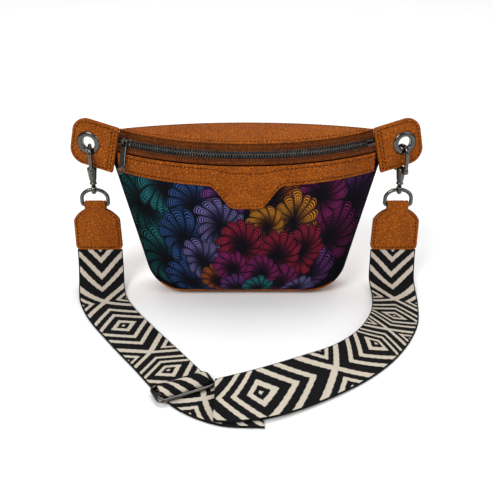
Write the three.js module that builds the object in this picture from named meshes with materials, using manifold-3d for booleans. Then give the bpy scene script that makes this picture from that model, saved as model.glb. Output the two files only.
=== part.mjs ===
// Waist pack with a printed front, leather trim, a curved zip and a hook-on webbing strap.
// Millimetres, +Z up. The bag stands on its base with its front towards -Y. The origin is the middle
// of the flat base. The strap hangs from both tabs and lies on the ground in front of the bag.

import * as THREE from 'three';
import { mergeVertices } from 'three/addons/utils/BufferGeometryUtils.js';
import Module from 'manifold-3d';

const wasm = await Module();
wasm.setup();

// ---------------------------------------------------------------- driving dimensions

const gap = 0.3; // clearance between pieces that touch

// body of the bag
const baseSeamHeight = 7; // height of the seam between the front panel and the base
const cornerRadius = 38; // rounded lower corners
const sideSlope = 0.294; // how much wider the bag gets for each millimetre of height
const upperHalfWidth = 134; // half width at the reference height below
const upperHeight = 130;
const baseFrontY = -20; // front and back seams of the base
const baseBackY = 24;
const topBackY = 26; // back seam at the top corners
const backBulge = 9; // how far the middle of the back stands out behind its seams
const backTopHeight = 172; // height of the back panel at its top corners
const crownHeight = 6; // how much higher the middle of the back edge is
const leather = 1.6; // thickness of one leather or fabric layer

// zip, which follows a level circular arc
const zipRadius = 227; // radius of the line of the teeth
const zipHeight = 165;
const zipFrontY = -27.4; // the arc's foremost point
const zipAxisY = zipRadius + zipFrontY;
const facingWidth = 11; // from the line of the teeth to the edge of each facing
const tapeOpening = 3.9; // half width of the slot that shows the teeth
const zipEndAngle = 37.2; // degrees from the middle to each end of the zip
const zipRestAngle = -33; // where the slider stands when the zip is closed

// tabs, hooks and rings, mirrored left and right
const hangX = 163; // distance from the middle plane to the grommets, hooks and rings
const hangY = 10; // plane that the hooks and rings hang in
const grommetHeight = 166;
const tabHalfHeight = 25.2;
const tabReach = 30; // from the grommet to the tab's inner edge
const tabEnd = 19.5; // from the grommet to the tab's outer end
const tabCorner = 16; // radius of the outer end's corners
const tabTurn = 14; // degrees, follows the curve of the waist
const tabTilt = 13; // degrees, the outer end points up
const tabLayer = 2;
const grommetHole = 7;
const grommetRim = 12.5;
const hookWire = 2.2;
const hookHalfSpan = 8; // from the shank's axis to each leg of the hook
const barrelTop = 138.5;
const barrelBottom = 119.6;
const eyeHeight = 113.4; // axis of the ring in the swivel's eye
const ringWire = 2.05;
const ringHalfWidth = 14; // centre line of the ring
const ringHeight = 17.6;

// strap
const webbingWidth = 50;
const webbingThickness = 1.8;
const strapEndTop = 100.3;
const strapEndBottom = 42;
const strapEndThickness = 5;

// ---------------------------------------------------------------- small helpers

const deg = Math.PI / 180;
const lerp = (a, b, t) => a + (b - a) * t;
const smooth = (t) => {
  const k = Math.min(1, Math.max(0, t));
  return k * k * (3 - 2 * k);
};

// A closed body from a list of points and a list of triangles.
function bodyFrom(positions, triangles) {
  const geometry = new THREE.BufferGeometry();
  geometry.setAttribute('position', new THREE.Float32BufferAttribute(positions, 3));
  geometry.setIndex(triangles);
  geometry.computeVertexNormals();
  return geometry;
}

// A sheet of even thickness that follows surface(u, v). It reaches from `inner` to `outer`,
// measured along the surface's normal, du x dv.
function sheet(surface, { across, along, inner, outer }) {
  const step = 1e-3;
  const positions = [];
  const normalAt = (u, v) => {
    const u0 = Math.max(0, u - step);
    const u1 = Math.min(1, u + step);
    const v0 = Math.max(0, v - step);
    const v1 = Math.min(1, v + step);
    const du = surface(u1, v).sub(surface(u0, v));
    const dv = surface(u, v1).sub(surface(u, v0));
    return du.cross(dv).normalize();
  };
  for (const offset of [outer, inner]) {
    for (let j = 0; j <= along; j += 1) {
      for (let i = 0; i <= across; i += 1) {
        const u = i / across;
        const v = j / along;
        const point = surface(u, v).addScaledVector(normalAt(u, v), offset);
        positions.push(point.x, point.y, point.z);
      }
    }
  }
  const row = across + 1;
  const layer = row * (along + 1);
  const triangles = [];
  const quad = (a, b, c, d) => triangles.push(a, b, c, a, c, d);
  for (let j = 0; j < along; j += 1) {
    for (let i = 0; i < across; i += 1) {
      const k = j * row + i;
      quad(k, k + 1, k + row + 1, k + row);
      quad(layer + k, layer + k + row, layer + k + row + 1, layer + k + 1);
    }
  }
  for (let i = 0; i < across; i += 1) {
    const end = along * row + i;
    quad(i, layer + i, layer + i + 1, i + 1);
    quad(end, end + 1, layer + end + 1, layer + end);
  }
  for (let j = 0; j < along; j += 1) {
    const start = j * row;
    const finish = start + across;
    quad(start, start + row, layer + start + row, layer + start);
    quad(finish, layer + finish, layer + finish + row, finish + row);
  }
  return bodyFrom(positions, triangles);
}

// A round wire that follows a closed flat loop, given as an [x, z] outline in the XZ plane.
function loopWire(outline, steps, radius, sides) {
  const points = outline.getSpacedPoints(steps);
  points.pop();
  const count = points.length;
  const positions = [];
  for (let i = 0; i < count; i += 1) {
    const before = points[(i + count - 1) % count];
    const after = points[(i + 1) % count];
    const tangent = after.clone().sub(before).normalize();
    for (let s = 0; s < sides; s += 1) {
      const angle = (2 * Math.PI * s) / sides;
      const outwards = radius * Math.cos(angle);
      positions.push(
        points[i].x + tangent.y * outwards,
        radius * Math.sin(angle),
        points[i].y - tangent.x * outwards,
      );
    }
  }
  const triangles = [];
  for (let i = 0; i < count; i += 1) {
    for (let s = 0; s < sides; s += 1) {
      const a = i * sides + s;
      const b = i * sides + ((s + 1) % sides);
      const c = ((i + 1) % count) * sides + ((s + 1) % sides);
      const d = ((i + 1) % count) * sides + s;
      triangles.push(a, b, c, a, c, d);
    }
  }
  return bodyFrom(positions, triangles);
}

// A round wire along an open curve, with flat ends.
function openWire(curve, radius, sides, steps) {
  const section = new THREE.Shape();
  section.absarc(0, 0, radius, 0, 2 * Math.PI);
  return new THREE.ExtrudeGeometry(section, {
    extrudePath: curve,
    steps,
    curveSegments: sides / 2,
    bevelEnabled: false,
  });
}

// A cylinder with its axis along X, Y or Z.
function rod(axis, radius, length, sides = 20) {
  const geometry = new THREE.CylinderGeometry(radius, radius, length, sides);
  if (axis === 'x') geometry.rotateZ(Math.PI / 2);
  if (axis === 'z') geometry.rotateX(Math.PI / 2);
  return geometry;
}

// A flat plate: an outline in the XZ plane, centred on y = 0.
function plate(outline, thickness, curveSegments = 12) {
  const geometry = new THREE.ExtrudeGeometry(outline, {
    depth: thickness,
    curveSegments,
    bevelEnabled: false,
  });
  geometry.translate(0, 0, -thickness / 2);
  geometry.rotateX(Math.PI / 2);
  return geometry;
}

function roundedRectangle(width, height, radius, path = new THREE.Shape()) {
  const x = width / 2 - radius;
  const y = height / 2 - radius;
  path.moveTo(x, -height / 2);
  path.absarc(x, -y, radius, -Math.PI / 2, 0);
  path.absarc(x, y, radius, 0, Math.PI / 2);
  path.absarc(-x, y, radius, Math.PI / 2, Math.PI);
  path.absarc(-x, -y, radius, Math.PI, 1.5 * Math.PI);
  path.closePath();
  return path;
}

// ---------------------------------------------------------------- joining and cutting

function solidOf(geometry) {
  const bare = geometry.clone();
  bare.deleteAttribute('normal');
  bare.deleteAttribute('uv');
  const merged = mergeVertices(bare, 1e-4);
  return new wasm.Manifold(new wasm.Mesh({
    numProp: 3,
    vertProperties: new Float32Array(merged.attributes.position.array),
    triVerts: new Uint32Array(merged.index.array),
  }));
}

function geometryOf(solid) {
  const mesh = solid.getMesh();
  return bodyFrom(Array.from(mesh.vertProperties), Array.from(mesh.triVerts));
}

function join(...geometries) {
  return geometryOf(geometries.map(solidOf).reduce((whole, piece) => whole.add(piece)));
}

function cut(geometry, ...tools) {
  return geometryOf(tools.map(solidOf).reduce((whole, tool) => whole.subtract(tool), solidOf(geometry)));
}

// ---------------------------------------------------------------- materials and placing

const looks = {
  leather: { color: 0xa85a2a, roughness: 0.62, metalness: 0 },
  darkLeather: { color: 0x7c3f1b, roughness: 0.7, metalness: 0 },
  print: { color: 0x233a52, roughness: 0.75, metalness: 0 },
  lining: { color: 0x2a2622, roughness: 0.9, metalness: 0 },
  tape: { color: 0x1d1a1a, roughness: 0.95, metalness: 0 },
  teeth: { color: 0x2c2f36, roughness: 0.45, metalness: 0.6 },
  gunmetal: { color: 0x4a4a48, roughness: 0.3, metalness: 1 },
  webbing: { color: 0x8a857c, roughness: 0.9, metalness: 0 },
};

const bag = new THREE.Group();

function add(name, geometry, look, parent = bag) {
  const mesh = new THREE.Mesh(geometry, new THREE.MeshStandardMaterial(looks[look]));
  mesh.name = name;
  parent.add(mesh);
  return mesh;
}

// ---------------------------------------------------------------- shape of the bag's body

const sideAngle = Math.atan(sideSlope);
const sideAt = (z) => upperHalfWidth + (z - upperHeight) * sideSlope;
const cornerZ = baseSeamHeight + cornerRadius;
const cornerX = sideAt(cornerZ) - cornerRadius / Math.cos(sideAngle);
const cornerShare = 0.3; // share of the outline's parameter that the rounded corner takes
const sideStartZ = cornerZ - cornerRadius * Math.sin(sideAngle);

// Half width and height of the outline, from t = 0 on the base seam to t = 1 at the top.
function outlineAt(t, topZ) {
  if (t < cornerShare) {
    const angle = lerp(Math.PI / 2, sideAngle, t / cornerShare);
    return {
      x: cornerX + cornerRadius * Math.cos(angle),
      z: cornerZ - cornerRadius * Math.sin(angle),
    };
  }
  const z = lerp(sideStartZ, topZ, (t - cornerShare) / (1 - cornerShare));
  return { x: sideAt(z), z };
}

const slope45 = Math.SQRT1_2;
const foldRadius = zipRadius + facingWidth * slope45;
const foldHeight = zipHeight - facingWidth * slope45;
const foldHalfWidth = sideAt(foldHeight);
const foldEndY = zipAxisY - Math.sqrt(foldRadius ** 2 - foldHalfWidth ** 2);
const foldBulge = foldEndY - (zipAxisY - foldRadius);

// How full the body is across its width: 1 in the middle, 0 at the seams, along a circular arc.
function fullness(u) {
  const x = foldHalfWidth * u;
  return (Math.sqrt(foldRadius ** 2 - x ** 2) - (zipAxisY - foldEndY)) / foldBulge;
}

const riseAt = (z) => (z - baseSeamHeight) / (foldHeight - baseSeamHeight);
const frontSeamY = (z) => lerp(baseFrontY, foldEndY, Math.max(0, riseAt(z)) ** 0.9);
const frontBulge = (z) => foldBulge * Math.sin((Math.PI / 2) * Math.min(1, Math.max(0, riseAt(z)))) ** 0.75;
const backSeamY = (z) => lerp(baseBackY, topBackY, z / backTopHeight);

// Front of the body: u runs from -1 at the left seam to 1 at the right one, t up the outline.
function frontPoint(u, t) {
  const { x, z } = outlineAt(t, foldHeight);
  return new THREE.Vector3(x * u, frontSeamY(z) - frontBulge(z) * fullness(u), z);
}

function backPoint(u, t) {
  const { x, z } = outlineAt(t, backTopHeight);
  const bulge = backBulge * Math.sin((Math.PI / 2) * riseAt(z) ** 0.6);
  return new THREE.Vector3(x * u, backSeamY(z) + bulge * fullness(u), z + crownHeight * fullness(u) * t ** 4);
}

// A point on the cone that the zip lies on: s up and inwards from the teeth, n outwards.
function zipPoint(angle, s, n = 0) {
  const radius = zipRadius - s * slope45 + n * slope45;
  const turn = angle * deg;
  return new THREE.Vector3(
    radius * Math.sin(turn),
    zipAxisY - radius * Math.cos(turn),
    zipHeight + s * slope45 + n * slope45,
  );
}

// ---------------------------------------------------------------- body panels

function makeFrontPanel() {
  const topShare = 0.95; // the panel ends under the leather band
  const surface = (u, v) => frontPoint(2 * u - 1, v * topShare);
  return sheet(surface, { across: 16, along: 9, inner: -leather, outer: 0 });
}

// The leather band under the zip, with a rounded drop in the middle of its lower edge.
function makeFrontBand() {
  const edgeHeight = 136;
  const dropDepth = 23;
  const dropOuter = 38;
  const dropInner = 12;
  const bandHalfWidth = 133;
  const topHeight = foldHeight - 0.6;
  const surface = (u, v) => {
    const x = bandHalfWidth * (2 * u - 1);
    const drop = dropDepth * smooth((dropOuter - Math.abs(x)) / (dropOuter - dropInner));
    const z = lerp(edgeHeight - drop, topHeight, v);
    return new THREE.Vector3(x, frontSeamY(z) - frontBulge(z) * fullness(x / sideAt(z)), z);
  };
  return sheet(surface, { across: 36, along: 3, inner: gap, outer: gap + leather });
}

function makeBackPanel() {
  const topShare = 0.985; // the top panel covers the rest
  const surface = (u, v) => backPoint(1 - 2 * u, v * topShare);
  return sheet(surface, { across: 14, along: 9, inner: -leather, outer: 0 });
}

// The gusset joins the front and back along the sides and under the base. It bulges outwards and
// is flat where the bag stands.
function makeGusset() {
  const seam = 2.6; // room for the edges of the front and back panels
  const topShare = 0.97; // the corners of the top close the rest
  const straight = 0.36; // share of the half length that runs under the base
  const swelling = 0.159; // how far it bulges, as a share of its width
  const flatness = 1.35; // how wide the flat middle of the bulge is
  const surface = (u, v) => {
    const side = Math.abs(2 * u - 1);
    const t = Math.max(0, (side - straight) / (1 - straight));
    const sign = u < 0.5 ? -1 : 1;
    const onBase = Math.min(1, side / straight);
    const front = outlineAt(t * topShare, foldHeight);
    const back = outlineAt(t * topShare, backTopHeight);
    const place = new THREE.Vector3(
      lerp(front.x, back.x, v) * onBase * sign,
      lerp(frontSeamY(front.z) + seam, backSeamY(back.z) - seam, v),
      lerp(front.z, back.z, v),
    );
    const width = backSeamY(back.z) - frontSeamY(front.z);
    const swell = swelling * width * Math.min(1, flatness * (1 - Math.abs(2 * v - 1) ** 3));
    const lean = t < cornerShare ? lerp(Math.PI / 2, sideAngle, t / cornerShare) : sideAngle;
    const sideways = t > 0 ? sign * Math.cos(lean) : 0;
    return place.add(new THREE.Vector3(sideways * swell, 0, -Math.sin(lean) * swell));
  };
  // the surface's normal points into the bag, so its thickness lies inside the outline
  return sheet(surface, { across: 38, along: 6, inner: 0, outer: leather });
}

// The top is a lens-shaped panel from the zip's upper facing to the back. It runs out to a tip where
// the end of the zip meets the back edge.
function makeTopPanel() {
  const lip = 1.2; // the panel's front edge stands over the facing
  const crown = 2.5;
  const inset = 1.2; // from the back panel's outer face to the panel's back edge
  const overBack = 0.5; // height of the panel over the back panel's top
  const tipShare = 0.912; // share of the back edge's half width that the panel reaches
  const surface = (u, v) => {
    const side = 2 * u - 1;
    const front = zipPoint(side * zipEndAngle, facingWidth + gap, lip);
    const full = fullness(side * tipShare);
    const back = new THREE.Vector3(
      sideAt(backTopHeight) * side * tipShare,
      topBackY + backBulge * full - inset,
      backTopHeight + crownHeight * full + overBack,
    );
    return front.lerp(back, v).add(new THREE.Vector3(0, 0, crown * Math.sin(Math.PI * v) * fullness(side)));
  };
  return sheet(surface, { across: 18, along: 4, inner: 0, outer: leather });
}

// A small leather corner closes the bag between the end of the zip, the gusset and the back edge.
function makeTopCorner(sign) {
  const pastZip = 0.3; // degrees beyond the end of the zip
  const inset = 2; // from the edges of the zip's facings and of the back
  const endAngle = sign * (zipEndAngle + pastZip);
  const lowerEnd = zipPoint(endAngle, inset - facingWidth);
  const upperEnd = zipPoint(endAngle, facingWidth - inset);
  const gussetEnd = new THREE.Vector3(sign * (foldHalfWidth + 0.8), foldEndY + 2 * inset, foldHeight - 0.5);
  const backEnd = new THREE.Vector3(
    sign * (sideAt(backTopHeight) - 1.5),
    topBackY - leather - 0.9,
    backTopHeight - inset,
  );
  const surface = (u, v) => {
    const atZip = lowerEnd.clone().lerp(upperEnd, u);
    const atEdge = gussetEnd.clone().lerp(backEnd, u);
    return sign > 0 ? atZip.lerp(atEdge, v) : atEdge.lerp(atZip, v);
  };
  return sheet(surface, { across: 4, along: 3, inner: -1, outer: 0 });
}

// A lining hangs just inside its panel and stops short of the seams.
function makeLining(point, flip) {
  const widthShare = 0.94;
  const lowShare = 0.12;
  const highShare = 0.9;
  const fabric = 0.8;
  const clearance = 0.8;
  const surface = (u, v) => {
    const side = flip ? 1 - 2 * u : 2 * u - 1;
    return point(side * widthShare, lerp(lowShare, highShare, v));
  };
  const face = -leather - clearance;
  return sheet(surface, { across: 10, along: 6, inner: face - fabric, outer: face });
}

// A strip of the zip's cone between two distances from the teeth.
function zipStrip(from, to, inner, outer, endAngle = zipEndAngle) {
  const surface = (u, v) => zipPoint(lerp(-endAngle, endAngle, u), lerp(from, to, v));
  return sheet(surface, { across: 24, along: 1, inner, outer });
}

function makeZip() {
  const toothGap = 0.6; // half of the line that the slider's post runs in
  const toothReach = 2.7;
  const toothHeight = 1.8;
  const facing = 1.3; // thickness of the facings
  const tapeInner = 1.2; // the tapes run from under the teeth to under the facings
  const tapeEdge = 9.5;
  const tapeUnder = -1.1; // underside of the tapes
  const tapeEnd = 36.2; // degrees
  const teethEnd = 34;
  add('lower_zip_facing', zipStrip(0.5 - facingWidth, -tapeOpening, 0, facing), 'darkLeather');
  add('upper_zip_facing', zipStrip(tapeOpening, facingWidth - 1.5, 0, facing), 'darkLeather');
  add('lower_zip_tape', zipStrip(-tapeEdge, -tapeInner, tapeUnder, -gap, tapeEnd), 'tape');
  add('upper_zip_tape', zipStrip(tapeInner, tapeEdge, tapeUnder, -gap, tapeEnd), 'tape');
  add('lower_zip_teeth', zipStrip(-toothReach, -toothGap, 0, toothHeight, teethEnd), 'teeth');
  add('upper_zip_teeth', zipStrip(toothGap, toothReach, 0, toothHeight, teethEnd), 'teeth');
}

// ---------------------------------------------------------------- zip slider and pull

// The slider's parts are drawn at the middle of the zip, where s is up the cone, and then turned
// along the arc to the closed end.
const sliderGroup = new THREE.Group();
sliderGroup.position.set(0, zipAxisY, 0);
sliderGroup.rotation.z = zipRestAngle * deg;
bag.add(sliderGroup);

function onZip(geometry, s, n) {
  geometry.rotateX(Math.PI / 4);
  const radius = zipRadius - s * slope45 + n * slope45;
  geometry.translate(0, -radius, zipHeight + s * slope45 + n * slope45);
  return geometry;
}

const pullPivot = 5.1; // height of the pull's axis over the teeth

function makeSlider() {
  const length = 14;
  const width = 8;
  const topPlate = new THREE.BoxGeometry(length, width, 1.3);
  const bottomPlate = new THREE.BoxGeometry(length - 2, 3.4, 1.4);
  const post = new THREE.BoxGeometry(3, 0.6, 5.6);
  const arch = openWire(new THREE.CatmullRomCurve3([
    new THREE.Vector3(0, -3.4, 0),
    new THREE.Vector3(0, -3.1, 2.6),
    new THREE.Vector3(0, 0, 4.4),
    new THREE.Vector3(0, 3.1, 2.6),
    new THREE.Vector3(0, 3.4, 0),
  ]), 1, 8, 12);
  topPlate.translate(0, 0, 2.7);
  bottomPlate.translate(0, 0, -2.4);
  post.translate(0, 0, 0.3);
  arch.translate(0, 0, 2.9);
  return onZip(join(topPlate, bottomPlate, post, arch), 0, 0);
}

// The pull turns about y = z = 0: a crossbar under the slider's arch, a window that the arch passes
// through, a flat bar and a rounded end with a hole.
function makePull() {
  const endCentre = -30;
  const endRadius = 4.6;
  const outline = new THREE.Shape();
  outline.moveTo(-3.4, 0.65);
  outline.lineTo(-3.8, endCentre + 3);
  outline.absarc(0, endCentre, endRadius, Math.PI * 0.83, Math.PI * 2.17);
  outline.lineTo(3.4, 0.65);
  outline.closePath();
  const window = new THREE.Path();
  window.moveTo(-2.2, -0.65);
  window.lineTo(-2.2, -6.4);
  window.lineTo(2.2, -6.4);
  window.lineTo(2.2, -0.65);
  window.closePath();
  const hole = new THREE.Path();
  hole.absarc(0, endCentre, 2.2, 0, 2 * Math.PI);
  outline.holes.push(window, hole);
  return plate(outline, 1.4, 8);
}

const pullLean = 33; // degrees from hanging straight down, over the edge of the facing
const pullSwing = 14; // degrees that the pull hangs askew, by its play on the arch
add('zip_slider', makeSlider(), 'gunmetal', sliderGroup);
const pull = add('zip_pull', makePull(), 'gunmetal', sliderGroup);
pull.position.set(0, -zipRadius - pullPivot * slope45, zipHeight + pullPivot * slope45);
pull.rotation.x = -pullLean * deg;
pull.rotation.y = -pullSwing * deg;

makeZip();
add('front_panel', makeFrontPanel(), 'print');
add('front_band', makeFrontBand(), 'leather');
add('back_panel', makeBackPanel(), 'leather');
add('gusset', makeGusset(), 'leather');
add('top_panel', makeTopPanel(), 'leather');
add('left_top_corner', makeTopCorner(-1), 'leather');
add('right_top_corner', makeTopCorner(1), 'leather');
add('front_lining', makeLining(frontPoint, false), 'lining');
add('back_lining', makeLining(backPoint, true), 'lining');

// ---------------------------------------------------------------- tabs and grommets

// A tab in its own plane, with the grommet at the origin and the outer end towards -X.
function makeTabLayer() {
  const outline = new THREE.Shape();
  outline.moveTo(tabReach, -tabHalfHeight);
  outline.lineTo(tabReach, tabHalfHeight);
  outline.lineTo(tabCorner - tabEnd, tabHalfHeight);
  outline.absarc(tabCorner - tabEnd, tabHalfHeight - tabCorner, tabCorner, Math.PI / 2, Math.PI);
  outline.absarc(tabCorner - tabEnd, tabCorner - tabHalfHeight, tabCorner, Math.PI, 1.5 * Math.PI);
  outline.closePath();
  const hole = new THREE.Path();
  hole.absarc(0, 0, grommetHole + 1.4, 0, 2 * Math.PI);
  outline.holes.push(hole);
  return plate(outline, tabLayer - gap / 2, 16);
}

// The face has a rolled rim and a sleeve through the hole; the washer closes it from behind.
function makeGrommetFace() {
  const face = tabLayer + gap;
  const profile = [
    new THREE.Vector2(grommetHole, -face),
    new THREE.Vector2(grommetHole + 1.1, -face),
    new THREE.Vector2(grommetHole + 1.1, face),
    new THREE.Vector2(grommetRim, face),
    new THREE.Vector2(grommetRim - 1, face + 1),
    new THREE.Vector2(grommetHole + 1.6, face + 1.2),
    new THREE.Vector2(grommetHole, face + 0.4),
    new THREE.Vector2(grommetHole, -face),
  ];
  return new THREE.LatheGeometry(profile, 28);
}

function makeGrommetWasher() {
  const face = tabLayer + gap;
  const inner = grommetHole + 1.1 + gap;
  const profile = [
    new THREE.Vector2(inner, -face),
    new THREE.Vector2(inner, -face - 0.8),
    new THREE.Vector2(grommetRim - 0.6, -face - 0.8),
    new THREE.Vector2(grommetRim - 0.6, -face),
    new THREE.Vector2(inner, -face),
  ];
  return new THREE.LatheGeometry(profile, 28);
}

function makeTab(side, name) {
  const tab = new THREE.Group();
  const turned = new THREE.Group();
  tab.position.set(side * hangX, hangY, grommetHeight);
  tab.rotation.z = side * tabTurn * deg;
  turned.rotation.y = -side * tabTilt * deg;
  bag.add(tab);
  tab.add(turned);
  const flip = side > 0 ? Math.PI : 0;
  const front = add(`${name}_tab_front`, makeTabLayer(), 'leather', turned);
  const back = add(`${name}_tab_back`, makeTabLayer(), 'leather', turned);
  front.rotation.z = flip;
  back.rotation.z = flip;
  front.position.y = -tabLayer / 2 - gap / 4;
  back.position.y = tabLayer / 2 + gap / 4;
  const face = add(`${name}_grommet`, makeGrommetFace(), 'gunmetal', turned);
  const washer = add(`${name}_grommet_washer`, makeGrommetWasher(), 'gunmetal', turned);
  face.rotation.x = Math.PI;
  washer.rotation.x = Math.PI;
}

// ---------------------------------------------------------------- swivel hooks

const hookTurn = { left: 8, right: 26 }; // degrees about the shank, as the hooks hang at rest

const gatePivotZ = 136;
const archHeight = grommetHeight - grommetHole + 1 + hookWire;
const archCentre = archHeight - hookHalfSpan;
const noseHeight = archCentre - 1.2;
const gateTop = noseHeight - gap;

// The hook stands on its shank's axis, x = y = 0, with its legs in the YZ plane: the fixed leg in
// front of the tab and the gate behind it.
function makeHook() {
  const half = [];
  const steps = 10;
  for (let i = 0; i <= steps; i += 1) {
    const angle = Math.PI - (Math.PI * i) / steps;
    const y = hookHalfSpan * Math.cos(angle);
    const z = archCentre + hookHalfSpan * Math.sin(angle);
    half.push(new THREE.Vector3(0, y, z));
  }
  half.unshift(new THREE.Vector3(0, -hookHalfSpan, gatePivotZ + 2));
  half.push(new THREE.Vector3(0, hookHalfSpan, noseHeight));
  const wire = openWire(new THREE.CatmullRomCurve3(half, false, 'centripetal'), hookWire, 8, 22);
  const barrel = new THREE.LatheGeometry([
    new THREE.Vector2(0, barrelBottom),
    new THREE.Vector2(3.9, barrelBottom),
    new THREE.Vector2(3.9, barrelBottom + 1.8),
    new THREE.Vector2(3.3, barrelBottom + 2.4),
    new THREE.Vector2(5.3, barrelTop - 2),
    new THREE.Vector2(4.4, barrelTop),
    new THREE.Vector2(0, barrelTop),
  ], 16);
  barrel.rotateX(Math.PI / 2);
  const yoke = new THREE.BoxGeometry(5.6, 2 * hookHalfSpan + 4.2, 5);
  yoke.translate(0, 0, gatePivotZ);
  const gateSlot = new THREE.BoxGeometry(3.2, 6, 8);
  gateSlot.translate(0, hookHalfSpan, gatePivotZ + 1.5);
  const socket = rod('z', 2.6, 9);
  socket.translate(0, 0, barrelBottom + 3);
  const pinHole = rod('x', 1.1, 12, 12);
  pinHole.translate(0, hookHalfSpan, gatePivotZ);
  return cut(join(wire, barrel, yoke), gateSlot, socket, pinHole);
}

function makeGate() {
  const arm = new THREE.BoxGeometry(2.4, 3.2, gateTop - gatePivotZ);
  arm.translate(0, hookHalfSpan + 0.1, (gateTop + gatePivotZ) / 2);
  const knuckle = rod('x', 1.9, 2.4, 16);
  knuckle.translate(0, hookHalfSpan, gatePivotZ);
  const pinHole = rod('x', 1.1, 12, 12);
  pinHole.translate(0, hookHalfSpan, gatePivotZ);
  return cut(join(arm, knuckle), pinHole);
}

function makeGatePin() {
  const pin = rod('x', 0.8, 5.2, 12);
  pin.translate(0, hookHalfSpan, gatePivotZ);
  return pin;
}

// The swivel's eye holds the ring, and its stem turns in the hook's barrel.
function makeSwivelEye() {
  const eye = rod('x', 5, 4.6, 20);
  eye.translate(0, 0, eyeHeight);
  const stem = rod('z', 2.1, 10, 16);
  stem.translate(0, 0, eyeHeight + 8);
  const bore = rod('x', 2.5, 8, 16);
  bore.translate(0, 0, eyeHeight);
  return cut(join(eye, stem), bore);
}

// The ring: a straight bar below, short sides and a half-elliptic top that passes through the eye.
function makeRing() {
  const corner = 2.4;
  const sideTop = 7;
  const outline = new THREE.Path();
  outline.moveTo(-ringHalfWidth + corner, 0);
  outline.lineTo(ringHalfWidth - corner, 0);
  outline.absarc(ringHalfWidth - corner, corner, corner, -Math.PI / 2, 0);
  outline.lineTo(ringHalfWidth, sideTop);
  outline.absellipse(0, sideTop, ringHalfWidth, ringHeight - sideTop, 0, Math.PI);
  outline.lineTo(-ringHalfWidth, corner);
  outline.absarc(-ringHalfWidth + corner, corner, corner, Math.PI, 1.5 * Math.PI);
  const ring = loopWire(outline, 36, ringWire, 8);
  ring.translate(0, 0, eyeHeight - ringHeight);
  return ring;
}

// ---------------------------------------------------------------- strap

const ringBarHeight = eyeHeight - ringHeight;

// The leather end of the strap: a neck folded round the ring's bar, shoulders and a square body.
function makeStrapEnd() {
  const neck = 11.4;
  const shoulder = 25;
  const rounding = 5;
  const bodyTop = 86;
  const outline = new THREE.Shape();
  outline.moveTo(-neck, ringBarHeight);
  outline.lineTo(-neck, bodyTop + 5);
  outline.quadraticCurveTo(-neck - 1, bodyTop + 3, -neck - 5, bodyTop + 1);
  outline.quadraticCurveTo(-shoulder, bodyTop - 2, -shoulder, bodyTop - 8);
  outline.lineTo(-shoulder - 0.6, strapEndBottom + rounding);
  outline.quadraticCurveTo(-shoulder - 0.6, strapEndBottom, -shoulder + 3, strapEndBottom);
  outline.lineTo(shoulder - 3, strapEndBottom);
  outline.quadraticCurveTo(shoulder + 0.6, strapEndBottom, shoulder + 0.6, strapEndBottom + rounding);
  outline.lineTo(shoulder, bodyTop - 8);
  outline.quadraticCurveTo(shoulder, bodyTop - 2, neck + 5, bodyTop + 1);
  outline.quadraticCurveTo(neck + 1, bodyTop + 3, neck, bodyTop + 5);
  outline.lineTo(neck, ringBarHeight);
  outline.closePath();
  const body = plate(outline, strapEndThickness, 5);
  const fold = rod('x', strapEndTop - ringBarHeight, 2 * neck, 20);
  fold.translate(0, 0, ringBarHeight);
  const bore = rod('x', ringWire + 0.5, 40, 16);
  bore.translate(0, 0, ringBarHeight);
  return cut(join(body, fold), bore);
}

// A ribbon through stations of [x, y, heading, tilt, height of its outer edge]. The heading is the
// direction across the ribbon towards its inner edge, and the tilt raises that edge.
function makeRibbon(stations, steps) {
  const half = webbingWidth / 2;
  const outerEdge = [];
  const innerEdge = [];
  for (const [x, y, heading, tilt, rise] of stations) {
    const lift = Math.sin(tilt * deg);
    const flat = Math.cos(tilt * deg);
    const cross = new THREE.Vector3(flat * Math.cos(heading * deg), flat * Math.sin(heading * deg), lift);
    const centre = new THREE.Vector3(x, y, rise + half * lift);
    outerEdge.push(centre.clone().addScaledVector(cross, -half));
    innerEdge.push(centre.clone().addScaledVector(cross, half));
  }
  const outerCurve = new THREE.CatmullRomCurve3(outerEdge, false, 'centripetal');
  const innerCurve = new THREE.CatmullRomCurve3(innerEdge, false, 'centripetal');
  const surface = (u, v) => outerCurve.getPoint(u).lerp(innerCurve.getPoint(u), v);
  return sheet(surface, {
    across: steps,
    along: 1,
    inner: -webbingThickness / 2,
    outer: webbingThickness / 2,
  });
}

const onFloor = 1.4; // middle of a ribbon that lies on the ground
const strapStart = strapEndBottom - 0.5;

// The left ribbon runs from its leather end under the slider and on below the right ribbon.
const leftStations = [
  [-hangX, hangY, 0, 0, strapStart],
  [-hangX, hangY - 2, 2, 0, 25],
  [-162, -1, 6, 0, 10.5],
  [-160, -14, 11, 0, 3.6],
  [-156, -30, 17, 0, onFloor],
  [-143, -58, 30, 0, onFloor],
  [-116, -99, 36, 0, onFloor],
  [-86, -141, 36, 0, onFloor],
  [-62, -175, 38, 0, onFloor],
  [-44, -196, 55, 0, onFloor],
  [-18, -211, 78, 0, onFloor],
  [12, -214, 98, 0, onFloor],
];

const rightStations = [
  [hangX, hangY, 180, 0, strapStart],
  [hangX, hangY - 2, 178, 0, 25],
  [162, -1, 175, 0, 10.5],
  [162, -14, 170, 1, 3.6],
  [161, -31, 163, 2, onFloor],
  [153, -72, 154, 5, onFloor],
  [131, -115, 140, 7, onFloor],
  [101, -150, 131, 12, onFloor],
  [60, -182, 121, 20, 2.2],
  [18, -205, 108, 21, 3.6],
  [-12, -210, 96, 14, 3.8],
  [-28, -209, 90, 8, 3.8],
];

// The slider: a rounded wire frame with a bar across its middle.
const sliderX = -57;
const sliderY = -188;
const sliderHeading = 27; // degrees, direction of its long side
const sliderHeight = 5;
const sliderWire = 1.7;
const sliderLength = 57;
const sliderWidth = 25;

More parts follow.
